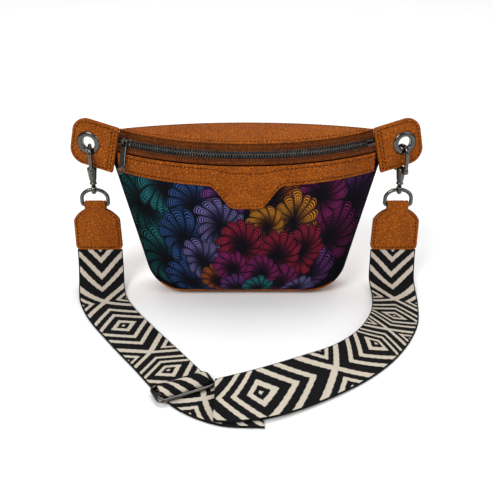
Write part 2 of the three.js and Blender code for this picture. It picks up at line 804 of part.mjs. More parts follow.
function makeStrapSlider() {
  const outline = roundedRectangle(
    sliderLength - 2 * sliderWire,
    sliderWidth - 2 * sliderWire,
    5,
    new THREE.Path(),
  );
  const frame = loopWire(outline, 36, sliderWire, 8);
  const bar = rod('x', sliderWire, sliderLength - 2 * sliderWire, 8);
  const slider = join(frame, bar);
  slider.rotateX(Math.PI / 2);
  return slider;
}

// The fold of webbing over the slider's middle bar.
function makeWebbingFold() {
  const foldWidth = 46;
  const profile = new THREE.CatmullRomCurve3([
    new THREE.Vector3(0, -7.4, 0.2),
    new THREE.Vector3(0, -4.6, 2.4),
    new THREE.Vector3(0, 0, 4),
    new THREE.Vector3(0, 4.6, 2.4),
    new THREE.Vector3(0, 7.4, 0.2),
  ]);
  const surface = (u, v) => profile.getPoint(v).add(new THREE.Vector3((u - 0.5) * foldWidth, 0, 0));
  return sheet(surface, { across: 2, along: 14, inner: -0.7, outer: 0.9 });
}

function makeStrap() {
  for (const [side, name] of [[-1, 'left'], [1, 'right']]) {
    const end = add(`${name}_strap_end`, makeStrapEnd(), 'leather');
    end.position.set(side * hangX, hangY, 0);
  }
  add('left_webbing', makeRibbon(leftStations, 40), 'webbing');
  add('right_webbing', makeRibbon(rightStations, 40), 'webbing');
  const slider = new THREE.Group();
  slider.position.set(sliderX, sliderY, sliderHeight);
  slider.rotation.z = sliderHeading * deg;
  bag.add(slider);
  add('strap_slider', makeStrapSlider(), 'gunmetal', slider);
  add('webbing_fold', makeWebbingFold(), 'webbing', slider);
}

for (const [side, name] of [[-1, 'left'], [1, 'right']]) {
  makeTab(side, name);
  const hanging = new THREE.Group();
  hanging.position.set(side * hangX, hangY, 0);
  bag.add(hanging);
  const hookGroup = new THREE.Group();
  hookGroup.rotation.z = hookTurn[name] * deg;
  hanging.add(hookGroup);
  add(`${name}_hook`, makeHook(), 'gunmetal', hookGroup);
  add(`${name}_gate`, makeGate(), 'gunmetal', hookGroup);
  add(`${name}_gate_pin`, makeGatePin(), 'gunmetal', hookGroup);
  add(`${name}_swivel_eye`, makeSwivelEye(), 'gunmetal', hanging);
  add(`${name}_d_ring`, makeRing(), 'gunmetal', hanging);
}
makeStrap();

export default bag;
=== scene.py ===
"""Waist pack: printed fabric front, tan leather trim, curved zip, swivel hooks and a jacquard strap.

Shapes are worked out in millimetres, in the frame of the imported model, and scaled to metres when a
mesh is made. The bag stands on z = 0 with its front towards -Y.
"""
import math

import bpy
import numpy as np
from mathutils import Matrix, Vector


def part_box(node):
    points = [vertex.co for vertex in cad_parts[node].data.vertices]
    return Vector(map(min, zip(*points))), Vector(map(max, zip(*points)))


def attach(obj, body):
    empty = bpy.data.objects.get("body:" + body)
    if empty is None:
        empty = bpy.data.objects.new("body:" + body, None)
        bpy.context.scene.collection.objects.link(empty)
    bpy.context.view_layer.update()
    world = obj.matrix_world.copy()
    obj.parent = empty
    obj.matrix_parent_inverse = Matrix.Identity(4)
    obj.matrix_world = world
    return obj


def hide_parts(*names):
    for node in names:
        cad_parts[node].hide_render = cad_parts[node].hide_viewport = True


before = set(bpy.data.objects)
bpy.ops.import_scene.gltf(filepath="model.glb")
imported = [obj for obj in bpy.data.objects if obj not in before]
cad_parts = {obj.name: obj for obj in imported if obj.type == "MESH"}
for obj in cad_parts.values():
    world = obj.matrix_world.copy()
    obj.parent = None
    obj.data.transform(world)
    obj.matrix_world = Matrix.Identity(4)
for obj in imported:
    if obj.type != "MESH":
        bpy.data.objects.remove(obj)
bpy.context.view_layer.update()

MM = 0.001
# Thickness of the leather, distance of a seam from the edge it is sewn along, and a stitch's
# radius. Then the distances from an edge at which a thick and a thin sheet have their vertices.
LEATHER = 1.6
SEAM = 3.1
STITCH_RADIUS = 0.5
EDGE_STEPS = [0.0, 0.12, 0.35, 0.7, 1.2, 1.9, 2.5, 3.1, 3.8, 4.8]
PLAIN_STEPS = [0.0, 0.3, 1.0, 2.5]
SIDES = ((-1, "left"), (1, "right"))


# ------------------------------------------------------------------ places taken from the frame

def middle_mm(node):
    """The middle of a CAD node's box, in millimetres."""
    low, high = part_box(node)
    return (np.array(low) + np.array(high)) / (2 * MM)


HANG_X, HANG_Y = middle_mm("right_d_ring")[:2]
GROMMET_Z = middle_mm("right_grommet")[2]


# ------------------------------------------------------------------ mesh helpers

def new_piece(name, vertices, faces, material, body, node=None, uvs=None, smooth=True, cut_from=None):
    """A mesh object from millimetre vertices, which takes the place of a CAD node if one is given.

    uvs holds one (u, v) per vertex, in metres. Faces from number cut_from on are cut leather edges.
    """
    mesh = bpy.data.meshes.new(name)
    mesh.from_pydata([tuple(c * MM for c in v) for v in vertices], [], [tuple(f) for f in faces])
    mesh.validate()
    mesh.materials.append(MATERIALS[material])
    if cut_from is not None:
        mesh.materials.append(MATERIALS["edge"])
        for face in mesh.polygons[cut_from:]:
            face.material_index = 1
    if uvs is not None:
        layer = mesh.uv_layers.new(name="cloth")
        for loop in mesh.loops:
            layer.data[loop.index].uv = uvs[loop.vertex_index]
    mesh.polygons.foreach_set("use_smooth", [smooth] * len(mesh.polygons))
    piece = bpy.data.objects.new(name, mesh)
    bpy.context.scene.collection.objects.link(piece)
    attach(piece, body)
    if node is not None:
        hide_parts(node)
    return piece


def soften(piece, width, segments=2, angle=35):
    """Rounds the edges of a piece by width millimetres."""
    bevel = piece.modifiers.new("soft edges", "BEVEL")
    bevel.width = width * MM
    bevel.segments = segments
    bevel.limit_method = "ANGLE"
    bevel.angle_limit = math.radians(angle)


def merge(parts):
    """Joins several (vertices, faces) into one."""
    vertices = []
    faces = []
    for part_vertices, part_faces in parts:
        start = len(vertices)
        vertices.extend(part_vertices)
        faces.extend([tuple(i + start for i in face) for face in part_faces])
    return vertices, faces


def moved(part, matrix):
    vertices, faces = part
    return [tuple(matrix @ Vector(v)) for v in vertices], faces


def shift_by(x, y, z):
    return Matrix.Translation((x, y, z))


def rotate(degrees, axis):
    return Matrix.Rotation(math.radians(degrees), 4, axis)


def add_metal(name, parts, place, body=None, node=None, soft=None, smooth=True):
    """Parts drawn in one frame, put in place as one piece. Its body and CAD node have its own name
    unless they are given. soft is (width, segments, angle) for its edges."""
    vertices, faces = moved(merge(parts), place)
    piece = new_piece(name + "_metal", vertices, faces, "metal", body or name, node or name, smooth=smooth)
    if soft is not None:
        soften(piece, *soft)


def run_over(points, axis=0):
    """Distance from the start of a path, or from the first row or column of a grid."""
    steps = np.cumsum(np.linalg.norm(np.diff(points, axis=axis), axis=-1), axis=axis)
    start = np.zeros_like(np.take(steps, [0], axis=axis))
    return np.concatenate([start, steps], axis=axis)


def ring_faces(rings, sides, closed):
    """Faces between rings of vertices. closed joins the last ring to the first; if it is not, both
    ends get a lid."""
    faces = []
    for i in range(rings if closed else rings - 1):
        step = (i + 1) % rings * sides - i * sides
        for s in range(sides):
            a = i * sides + s
            b = i * sides + (s + 1) % sides
            faces.append((a, b, b + step, a + step))
    if not closed:
        faces.append(tuple(reversed(range(sides))))
        faces.append(tuple(range((rings - 1) * sides, rings * sides)))
    return faces


def smoothstep(value):
    t = np.clip(value, 0.0, 1.0)
    return t * t * (3 - 2 * t)


def stops(size, edge_steps, spacing):
    """Positions from 0 to 1 across a width of size millimetres, closer together near both edges."""
    near = [step for step in edge_steps if step < size / 2]
    inner = near[-1]
    count = max(2, int(round((size - 2 * inner) / spacing)))
    middle = np.linspace(inner, size - inner, count + 1)
    return np.concatenate([near[:-1], middle, [size - step for step in reversed(near[:-1])]]) / size


def grid_of(surface, us, vs):
    """The points of surface(u, v), a row for each v."""
    return np.array([[surface(u, v) for u in us] for v in vs], dtype=float)


def normals_of(grid):
    across = np.gradient(grid, axis=1)
    along = np.gradient(grid, axis=0)
    normal = np.cross(across, along)
    length = np.linalg.norm(normal, axis=2, keepdims=True)
    return normal / np.maximum(length, 1e-9)


def shell(grid, normals, outer, inner):
    """A closed sheet between two offsets of a grid: (vertices, faces, number of the first rim face)."""
    rows, columns = grid.shape[:2]
    top = grid + normals * outer[..., None]
    bottom = grid + normals * inner[..., None]
    vertices = np.concatenate([top.reshape(-1, 3), bottom.reshape(-1, 3)])
    layer = rows * columns
    faces = []
    for j in range(rows - 1):
        for i in range(columns - 1):
            k = j * columns + i
            faces.append((k, k + 1, k + columns + 1, k + columns))
            faces.append((layer + k, layer + k + columns, layer + k + columns + 1, layer + k + 1))
    rim = len(faces)
    for i in range(columns - 1):
        end = (rows - 1) * columns + i
        faces.append((i, layer + i, layer + i + 1, i + 1))
        faces.append((end, end + 1, layer + end + 1, layer + end))
    for j in range(rows - 1):
        start = j * columns
        finish = start + columns - 1
        faces.append((start, start + columns, layer + start + columns, layer + start))
        faces.append((finish, layer + finish, layer + finish + columns, finish + columns))
    return vertices, faces, rim


def add_sheet(name, surface, size, material, node, body="bag", thickness=LEATHER, lift=0.0,
              spacing=3.0, edges="uUvV", groove=None, painted=False, relief=None):
    """A sheet of leather or fabric on surface(u, v), size = its (width, length) in millimetres.

    It stands on the surface, lifted by lift, and is thickness thick with rounded edges. edges names
    the rounded ones: u, U, v, V for the start and end of each direction. A groove is pressed in at
    that distance from its v = 0 edge, where a seam is sewn. painted gives it cut leather edges.
    relief(grid) adds height.
    """
    steps = EDGE_STEPS if thickness > 1.3 else PLAIN_STEPS
    us = stops(size[0], steps, spacing)
    vs = stops(size[1], steps, spacing)
    grid = grid_of(surface, us, vs)
    u_mm = np.broadcast_to(us[None, :] * size[0], grid.shape[:2])
    v_mm = np.broadcast_to(vs[:, None] * size[1], grid.shape[:2])
    distance = {"u": u_mm, "U": size[0] - u_mm, "v": v_mm, "V": size[1] - v_mm}
    rounding = min(1.0, thickness * 0.6)
    height = np.full(grid.shape[:2], thickness)
    for edge in edges:
        near = np.clip(distance[edge] / rounding, 0, 1)
        height = np.minimum(height, thickness - rounding + rounding * np.sqrt(1 - (1 - near) ** 2))
    if groove:
        height = height - 0.38 * np.exp(-(((v_mm - groove) / 0.75) ** 2))
    if relief is not None:
        height = height + relief(grid)
    vertices, faces, rim = shell(grid, normals_of(grid), height + lift, np.full(grid.shape[:2], lift))
    uvs = np.stack([u_mm, v_mm], axis=-1).reshape(-1, 2) * MM
    cut_from = rim if painted else None
    new_piece(name, vertices, faces, material, body, node, np.concatenate([uvs, uvs]), cut_from=cut_from)


def tube_part(points, radius, sides=12, closed=False, scale=None):
    """(vertices, faces) of a round wire along points. scale gives a radius factor at each point."""
    points = [Vector(p) for p in points]
    count = len(points)
    vertices = []
    reference = None
    for i, point in enumerate(points):
        before = points[(i - 1) % count] if closed or i > 0 else point
        after = points[(i + 1) % count] if closed or i < count - 1 else point
        tangent = (after - before).normalized()
        if reference is None:
            helper = Vector((0, 0, 1)) if abs(tangent.z) < 0.9 else Vector((1, 0, 0))
            reference = tangent.cross(helper).normalized()
        reference = (reference - tangent * reference.dot(tangent)).normalized()
        across = tangent.cross(reference)
        size = radius * (scale[i] if scale is not None else 1.0)
        for s in range(sides):
            angle = 2 * math.pi * s / sides
            vertices.append(tuple(point + (reference * math.cos(angle) + across * math.sin(angle)) * size))
    return vertices, ring_faces(count, sides, closed)


def lathe_part(profile, sides=40):
    """(vertices, faces) of a profile of (radius, height) turned about Z. A profile that starts and
    ends on the axis closes there; any other is a closed ring."""
    on_axis = profile[0][0] == 0
    rings = profile[1:-1] if on_axis else profile
    angles = [2 * math.pi * s / sides for s in range(sides)]
    vertices = [(radius * math.cos(a), radius * math.sin(a), height)
                for radius, height in rings for a in angles]
    return vertices, ring_faces(len(rings), sides, closed=not on_axis)


def block_part(size, centre=(0, 0, 0)):
    half = [s / 2 for s in size]
    vertices = [(centre[0] + sx * half[0], centre[1] + sy * half[1], centre[2] + sz * half[2])
                for sx in (-1, 1) for sy in (-1, 1) for sz in (-1, 1)]
    faces = [(0, 1, 3, 2), (4, 6, 7, 5), (0, 4, 5, 1), (2, 3, 7, 6), (0, 2, 6, 4), (1, 5, 7, 3)]
    return vertices, faces


def stitch_parts(path, normals, length=3.0, pause=1.1):
    """Sewn stitches along a path: each is a short thread that dives in at both ends."""
    path = np.array(path, dtype=float)
    normals = np.array(normals, dtype=float)
    run = run_over(path)
    count = max(1, int(run[-1] // (length + pause)))
    pitch = run[-1] / count
    rise = np.sin(np.linspace(0, math.pi, 6)) ** 0.5
    parts = []
    for k in range(count):
        start = k * pitch + pause / 2
        marks = np.linspace(start, start + pitch - pause, len(rise))
        points = np.stack([np.interp(marks, run, path[:, c]) for c in range(3)], axis=1)
        ups = np.stack([np.interp(marks, run, normals[:, c]) for c in range(3)], axis=1)
        points = points + ups * (0.42 * rise - 0.32)[:, None]
        parts.append(tube_part(points, STITCH_RADIUS, sides=6, scale=0.7 + 0.3 * rise))
    return parts


def add_stitches(name, rows, body="bag", thread="thread", **spacing):
    """Stitches along rows of (path, normals)."""
    parts = []
    for path, normals in rows:
        parts.extend(stitch_parts(path, normals, **spacing))
    new_piece(name, *merge(parts), thread, body)


def surface_row(surface, points, lift):
    """A path over surface(u, v) through (u, v) points, with the surface's normals, lifted."""
    path = []
    normals = []
    step = 1e-3
    for u, v in points:
        here = np.array(surface(u, v))
        du = np.array(surface(min(1, u + step), v)) - np.array(surface(max(0, u - step), v))
        dv = np.array(surface(u, min(1, v + step))) - np.array(surface(u, max(0, v - step)))
        normal = np.cross(du, dv)
        normal = normal / np.linalg.norm(normal)
        path.append(here + normal * lift)
        normals.append(normal)
    return path, normals


# ------------------------------------------------------------------ material helpers

class Look:
    """One procedural material, with short names for its nodes."""

    def __init__(self, name, coordinates="Object"):
        self.material = bpy.data.materials.new(name)
        self.material.use_nodes = True
        self.tree = self.material.node_tree
        self.tree.nodes.clear()
        output = self.tree.nodes.new("ShaderNodeOutputMaterial")
        self.shader = self.tree.nodes.new("ShaderNodeBsdfPrincipled")
        self.tree.links.new(self.shader.outputs[0], output.inputs["Surface"])
        if coordinates == "cloth":
            uv = self.tree.nodes.new("ShaderNodeUVMap")
            uv.uv_map = "cloth"
            self.place = uv.outputs[0]
        else:
            self.place = self.tree.nodes.new("ShaderNodeTexCoord").outputs[coordinates]

    def put(self, socket, value):
        if isinstance(value, bpy.types.NodeSocket):
            self.tree.links.new(value, socket)
        elif socket.type == "RGBA" and len(value) == 3:
            socket.default_value = (*value, 1.0)
        else:
            socket.default_value = value

    def node(self, kind, values, **settings):
        """A new node with its first inputs set to values, and its own settings."""
        made = self.tree.nodes.new(kind)
        for name, setting in settings.items():
            setattr(made, name, setting)
        for socket, value in zip(made.inputs, values):
            self.put(socket, value)
        return made

    def maths(self, operation, *values):
        return self.node("ShaderNodeMath", values, operation=operation).outputs[0]

    def times(self, first, second):
        return self.maths("MULTIPLY", first, second)

    def vector(self, operation, *values):
        return self.node("ShaderNodeVectorMath", values, operation=operation).outputs[0]

    def split(self, vector):
        return self.node("ShaderNodeSeparateXYZ", [vector]).outputs

    def join(self, x, y, z=0.0):
        return self.node("ShaderNodeCombineXYZ", (x, y, z)).outputs[0]

    def stretch(self, factors):
        return self.vector("MULTIPLY", self.place, factors)

    def texture(self, kind, vector, inputs, **settings):
        made = self.node(kind, (), **settings)
        self.put(made.inputs["Vector"], self.place if vector is None else vector)
        for name, value in inputs.items():
            made.inputs[name].default_value = value
        return made.outputs

    def noise(self, scale, detail=3.0, vector=None, output="Fac"):
        return self.texture("ShaderNodeTexNoise", vector, {"Scale": scale, "Detail": detail})[output]

    def cells(self, scale, vector):
        outputs = self.texture("ShaderNodeTexVoronoi", vector, {"Scale": scale}, feature="DISTANCE_TO_EDGE")
        return outputs["Distance"]

    def threads(self, pitch, along_pitch=None):
        """Warp and weft threads that pass over and under each other, from -1 to 1."""
        x, y, _ = self.split(self.place)
        warp = self.maths("SINE", self.times(x, math.pi / pitch))
        weft = self.maths("SINE", self.times(y, math.pi / (along_pitch or pitch)))
        return self.times(warp, weft)

    def span(self, value, low, high, to_low=0.0, to_high=1.0, smooth=False):
        curve = "SMOOTHSTEP" if smooth else "LINEAR"
        values = (value, low, high, to_low, to_high)
        return self.node("ShaderNodeMapRange", values, interpolation_type=curve).outputs[0]

    def mix(self, factor, first, second, blend="MIX"):
        node = self.node("ShaderNodeMix", (), data_type="RGBA", blend_type=blend)
        for socket, value in zip((0, 6, 7), (factor, first, second)):
            self.put(node.inputs[socket], value)
        return node.outputs[2]

    def shaded(self, colour, shade):
        return self.mix(1.0, colour, self.join(shade, shade, shade), "MULTIPLY")

    def bump(self, height, distance, strength=1.0):
        made = self.node("ShaderNodeBump", ())
        made.inputs["Distance"].default_value = distance
        made.inputs["Strength"].default_value = strength
        self.put(made.inputs["Height"], height)
        return made.outputs[0]

    def finish(self, **inputs):
        for name, value in inputs.items():
            self.put(self.shader.inputs[name.replace("_", " ")], value)
        return self.material


def leather_look(name, light, dark):
    """Pebbled leather: grains about three millimetres across with finer ones over them, painted shade
    in the creases and painted light on the swells, and a slow change of colour over the hide."""
    look = Look(name)
    roughness = 0.46
    patches = look.noise(30, 4)
    swirl = look.noise(300, 2, output="Color")
    warped = look.vector("MULTIPLY_ADD", swirl, (0.0016, 0.0016, 0.0016), look.place)
    grain = look.span(look.cells(330, warped), 0.0, 0.17, smooth=True)
    small = look.span(look.cells(900, warped), 0.0, 0.22, smooth=True)
    swell = look.noise(260, 2)
    height = look.maths("MULTIPLY_ADD", small, 0.3, look.times(grain, 0.6))
    height = look.maths("MULTIPLY_ADD", swell, 0.5, height)
    colour = look.mix(look.span(patches, 0.3, 0.7), dark, light)
    # painted shade and light: the colour is darkened in the grain's creases and lightened where the swell
    # noise raises the surface
    shade = look.maths("MULTIPLY_ADD", look.times(grain, small), 0.58, 0.42)
    shade = look.times(shade, look.span(swell, 0.25, 0.75, 0.8, 1.15))
    worn = look.span(look.noise(90, 5), 0.35, 0.75, roughness + 0.1, roughness - 0.06)
    return look.finish(Base_Color=look.shaded(colour, shade), Roughness=worn,
                       Normal=look.bump(height, 0.0014), Specular_IOR_Level=0.1)


def cut_edge_look():
    """The painted edge of cut leather: darker and smoother, with fine streaks."""
    look = Look("leather_edge_paint")
    streaks = look.noise(1400, 3)
    colour = look.mix(look.span(streaks, 0.3, 0.7), (0.07, 0.020, 0.006), (0.14, 0.04, 0.011))
    normal = look.bump(streaks, 0.0001, 0.5)
    return look.finish(Base_Color=colour, Roughness=0.5, Normal=normal)


def metal_look(name, tone, roughness):
    """Polished dark plating with a faint cloudiness and hairline scratches."""
    look = Look(name)
    cloud = look.noise(140, 4)
    hairs = look.noise(900, 2, vector=look.stretch((1.0, 0.12, 0.5)))
    colour = look.mix(look.span(cloud, 0.3, 0.7), tone, tuple(c * 1.35 for c in tone))
    rough = look.maths("ADD", look.span(cloud, 0.3, 0.7, roughness - 0.05, roughness + 0.07),
                       look.span(hairs, 0.62, 0.8, 0.0, 0.14))
    normal = look.bump(hairs, 0.00002, 0.25)
    return look.finish(Base_Color=colour, Metallic=1.0, Roughness=rough, Normal=normal)


def weave_look(name, light, dark, pitch=0.0006):
    """Plain-woven cloth."""
    look = Look(name, "cloth")
    height = look.maths("ABSOLUTE", look.threads(pitch))
    # painted shade: the colour is darker where the threads dip under each other, the same heights the bump
    # uses
    colour = look.mix(look.maths("MULTIPLY_ADD", height, 0.6, 0.2), dark, light)
    colour = look.mix(look.span(look.noise(60, 3), 0.35, 0.65), colour, tuple(c * 0.8 for c in light))
    fuzzy = look.maths("ADD", height, look.times(look.noise(3000, 2), 0.3))
    normal = look.bump(fuzzy, 0.00015, 0.7)
    return look.finish(Base_Color=colour, Roughness=0.85, Normal=normal, Sheen_Weight=0.3)


def thread_look(name, tone):
    """Sewing thread with the turns of its twist."""
    look = Look(name)
    twist = look.noise(2600, 2, vector=look.stretch((1.0, 1.0, 0.4)))
    colour = look.mix(look.span(twist, 0.35, 0.65), tuple(c * 0.6 for c in tone), tone)
    normal = look.bump(twist, 0.0001, 0.6)
    return look.finish(Base_Color=colour, Roughness=0.8, Normal=normal, Specular_IOR_Level=0.06)


# Where one stripe of the webbing's pattern ends and the next begins, as shares of half a repeat.
# They alternate from the ivory dot in the middle of a diamond outwards.
STRIPE_ENDS = [0.03, 0.12, 0.22, 0.38, 0.48, 0.62, 0.72, 0.93, 1.05, 1.17, 1.25, 1.34]
STRIPE_RANGE = 1.5
HALF_REPEAT = 0.055
WEBBING_WIDTH = 0.050
SELVEDGE = 0.0012
WEAVE_STEP = 0.0007
WARP_PITCH = 0.000525
WEFT_PITCH = 0.00065
STRAP_IVORY = (0.70, 0.62, 0.51)
STRAP_BLACK = (0.004, 0.004, 0.005)


def webbing_look():
    """Jacquard webbing: nested diamonds between crossing lines, with a narrow dark selvedge.
    The cloth map gives metres across the webbing, and along it the place in the pattern, which
    starts in the middle of a diamond."""
    look = Look("webbing", "cloth")
    x, y, _ = look.split(look.place)
    across = look.maths("SNAP", x, WEAVE_STEP)
    along = look.maths("SNAP", y, WEAVE_STEP)
    side = look.maths("ABSOLUTE", look.maths("SUBTRACT", across, WEBBING_WIDTH / 2))
    apart = look.maths("PINGPONG", along, HALF_REPEAT)
    level = look.maths("DIVIDE", look.maths("MULTIPLY_ADD", side, 0.85, apart), HALF_REPEAT * STRIPE_RANGE)
    ramp = look.node("ShaderNodeValToRGB", [level])
    ramp.color_ramp.interpolation = "CONSTANT"
    stripes = ramp.color_ramp.elements
    stripes[0].color = (1, 1, 1, 1)
    stripes[1].position = STRIPE_ENDS[0] / STRIPE_RANGE
    stripes[1].color = (0, 0, 0, 1)
    for k, end in enumerate(STRIPE_ENDS[1:]):
        stripes.new(end / STRIPE_RANGE).color = (1, 1, 1, 1) if k % 2 == 0 else (0, 0, 0, 1)
    inside_selvedge = look.maths("LESS_THAN", side, WEBBING_WIDTH / 2 - SELVEDGE)
    ivory = look.times(ramp.outputs[0], inside_selvedge)

    height = look.maths("MULTIPLY_ADD", look.threads(WARP_PITCH, WEFT_PITCH), 0.5, 0.5)
    # painted shade: both the ivory and the black are darker where the threads dip, the same heights the bump
    # uses
    pale = look.mix(look.times(height, 0.8), tuple(c * 0.62 for c in STRAP_IVORY), STRAP_IVORY)
    dirt = look.span(look.noise(70, 4), 0.45, 0.8, 0.0, 0.35)
    pale = look.mix(dirt, pale, tuple(c * 0.75 for c in STRAP_IVORY))
    black = look.mix(look.times(height, 0.8), STRAP_BLACK, (0.010, 0.010, 0.011))
    raised = look.maths("MULTIPLY_ADD", ivory, 0.55, height)
    raised = look.maths("MULTIPLY_ADD", look.noise(2500, 3), 0.4, raised)
    return look.finish(Base_Color=look.mix(ivory, black, pale), Roughness=0.86,
                       Normal=look.bump(raised, 0.00022, 0.8), Specular_IOR_Level=0.08)


# ------------------------------------------------------------------ the printed front

# Each fan of petals: centre across and up the panel, size (all millimetres), the way it opens in
# degrees, number of petals to the full turn, and its inner and outer colours.
PRINT_GROUND = (0.0015, 0.0018, 0.005)
TEAL = ((0.006, 0.075, 0.095), (0.02, 0.26, 0.28))
DEEP_BLUE = ((0.008, 0.02, 0.085), (0.035, 0.10, 0.30))
LAVENDER = ((0.035, 0.03, 0.14), (0.20, 0.17, 0.42))
CRIMSON = ((0.09, 0.004, 0.018), (0.36, 0.018, 0.05))
MAGENTA = ((0.08, 0.004, 0.045), (0.30, 0.02, 0.16))
GOLD = ((0.20, 0.045, 0.003), (0.72, 0.28, 0.02))
RUST = ((0.12, 0.02, 0.004), (0.50, 0.12, 0.02))
VIOLET = ((0.03, 0.006, 0.06), (0.19, 0.05, 0.26))
PETAL_FANS = [
    (-128, 122, 44, 140, 15, TEAL), (-92, 146, 40, 250, 17, TEAL), (-118, 62, 42, 200, 13, TEAL),
    (-62, 128, 36, 60, 15, DEEP_BLUE), (-84, 92, 38, 190, 13, DEEP_BLUE), (128, 126, 44, 30, 15, VIOLET),
    (112, 92, 42, 330, 13, MAGENTA), (86, 138, 36, 80, 15, MAGENTA), (-24, 140, 30, 100, 13, VIOLET),
    (-34, 108, 34, 150, 15, LAVENDER), (-92, 30, 40, 230, 15, DEEP_BLUE), (30, 140, 34, 60, 13, RUST),
    (96, 44, 42, 320, 15, VIOLET), (58, 112, 36, 50, 15, GOLD), (24, 108, 26, 120, 13, GOLD),
    (-62, 66, 32, 200, 13, LAVENDER), (78, 78, 34, 350, 15, CRIMSON), (-6, 84, 34, 100, 15, CRIMSON),
    (-48, 36, 28, 210, 11, RUST), (44, 76, 32, 70, 15, CRIMSON), (-22, 56, 26, 160, 13, MAGENTA),
    (54, 30, 36, 300, 13, MAGENTA), (22, 50, 28, 40, 13, MAGENTA), (-20, 22, 30, 240, 13, VIOLET),
    (20, 20, 28, 290, 13, TEAL), (92, 16, 30, 300, 13, LAVENDER),
]


def petal_fan_group():
    """A node group that lays one fan of petals over the colours below it."""
    group = bpy.data.node_groups.new("petal_fan", "ShaderNodeTree")
    kinds = {"Color": ("Below", "Inner", "Outer"), "Vector": ("Place", "Centre"),
             "Float": ("Turn", "Size", "Petals")}
    for kind, names in kinds.items():
        for name in names:
            group.interface.new_socket(name, in_out="INPUT", socket_type="NodeSocket" + kind)
    group.interface.new_socket("Colour", in_out="OUTPUT", socket_type="NodeSocketColor")
    given = group.nodes.new("NodeGroupInput").outputs
    result = group.nodes.new("NodeGroupOutput").inputs
    look = Look.__new__(Look)
    look.tree = group

    x, y, _ = look.split(look.vector("SUBTRACT", given["Place"], given["Centre"]))
    reach = look.maths("SQRT", look.maths("ADD", look.times(x, x), look.times(y, y)))
    radius = look.maths("DIVIDE", reach, given["Size"])
    swirl = look.maths("MULTIPLY_ADD", radius, 0.55, given["Turn"])
    angle = look.maths("SUBTRACT", look.maths("ARCTAN2", y, x), swirl)
    turns = look.maths("DIVIDE", angle, 2 * math.pi)
    position = look.times(look.maths("FRACT", turns), given["Petals"])
    within = look.maths("SUBTRACT", look.maths("FRACT", position), 0.5)
    number = look.maths("FLOOR", position)
    twice = look.times(within, 2.0)
    round_end = look.maths("SQRT", look.maths("SUBTRACT", 1.0, look.times(twice, twice)))
    chance = look.node("ShaderNodeTexWhiteNoise", (), noise_dimensions="2D")
    look.put(chance.inputs["Vector"], look.join(number, given["Turn"]))
    luck = chance.outputs["Value"]
    length = look.maths("MULTIPLY_ADD", luck, 0.22, 0.62)
    edge = look.maths("MULTIPLY_ADD", round_end, 0.2, length)
    depth = look.maths("SUBTRACT", edge, radius)
    inside = look.maths("GREATER_THAN", depth, 0.0)

    rings = look.maths("SINE", look.times(depth, 80.0))
    veins = look.maths("SINE", look.times(within, 30.0))
    line = look.maths("MAXIMUM", rings, look.times(veins, look.span(depth, 0.12, 0.3)))
    line = look.span(line, 0.15, 0.75)
    fold = look.span(look.maths("ABSOLUTE", within), 0.5, 0.34)
    glow = look.times(look.span(radius, 0.1, 0.72), fold)
    strength = look.times(look.maths("MULTIPLY_ADD", line, 0.85, 0.15), glow)
    strength = look.times(strength, look.span(depth, 0.0, 0.035))
    tint = look.mix(look.span(luck, 0.15, 0.85), given["Outer"], given["Inner"])
    tint = look.mix(look.span(radius, 0.35, 0.8), tint, given["Outer"])
    petal = look.mix(look.maths("POWER", strength, 1.7), PRINT_GROUND, tint)
    shadow = look.span(depth, -0.1, 0.0, 0.0, 0.75)
    below = look.mix(shadow, given["Below"], PRINT_GROUND)
    look.put(result["Colour"], look.mix(inside, below, petal))
    return group


def print_look():
    """Fabric printed with overlapping fans of finely lined petals on a dark ground."""
    look = Look("printed_fabric", "cloth")
    wobble = look.noise(22, 2, output="Color")
    place = look.vector("MULTIPLY_ADD", wobble, (14, 14, 0), look.stretch((1000.0, 1000.0, 1000.0)))
    colour = PRINT_GROUND
    group = petal_fan_group()
    for x, y, size, turn, petals, (inner, outer) in PETAL_FANS:
        fan = look.tree.nodes.new("ShaderNodeGroup")
        fan.node_tree = group
        given = {"Below": colour, "Place": place, "Centre": (x + PRINT_MIDDLE + 7, y + 7, 0),
                 "Turn": math.radians(turn), "Size": size, "Petals": petals, "Inner": inner, "Outer": outer}
        for name, value in given.items():
            look.put(fan.inputs[name], value)
        colour = fan.outputs["Colour"]
        # the next fan's place depends a very little on this one's colour, so that the fans are
        # worked out one after another and the material stays within the renderer's memory
        place = look.vector("MULTIPLY_ADD", colour, (1e-6, 1e-6, 0), place)
    x, y, _ = look.split(look.place)
    weave = look.maths("ABSOLUTE", look.threads(0.00055))
    # painted shade: the print is darkened towards the panel's side edges and its lower edge, and between the
    # weave's threads
    side = look.maths("MINIMUM", x, look.maths("SUBTRACT", 2 * PRINT_MIDDLE * MM, x))
    shade = look.times(look.maths("MULTIPLY_ADD", weave, 0.25, 0.75),
                       look.span(side, 0.0, 0.05, 0.3, 1.0, smooth=True))
    shade = look.times(shade, look.span(y, 0.0, 0.03, 0.45, 1.0, smooth=True))
    return look.finish(Base_Color=look.shaded(colour, shade), Roughness=0.75,
                       Normal=look.bump(weave, 0.0001, 0.4), Specular_IOR_Level=0.07)


# ------------------------------------------------------------------ shape of the bag's body

BASE_SEAM_Z = 7
CORNER_RADIUS = 38
SIDE_SLOPE = 0.294
SIDE_X, SIDE_Z = 134, 130
BASE_FRONT_Y, BASE_BACK_Y, TOP_BACK_Y = -20, 24, 26
BACK_BULGE = 9
BACK_TOP_Z = 172
CROWN = 6
GAP = 0.3

ZIP_RADIUS = 227
ZIP_Z = 165
ZIP_AXIS_Y = ZIP_RADIUS - 27.4
FACING = 11
ZIP_END = 37.2
ZIP_REST = -33

SIDE_ANGLE = math.atan(SIDE_SLOPE)


def side_at(z):
    """Half width of the body at a height."""
    return SIDE_X + (z - SIDE_Z) * SIDE_SLOPE


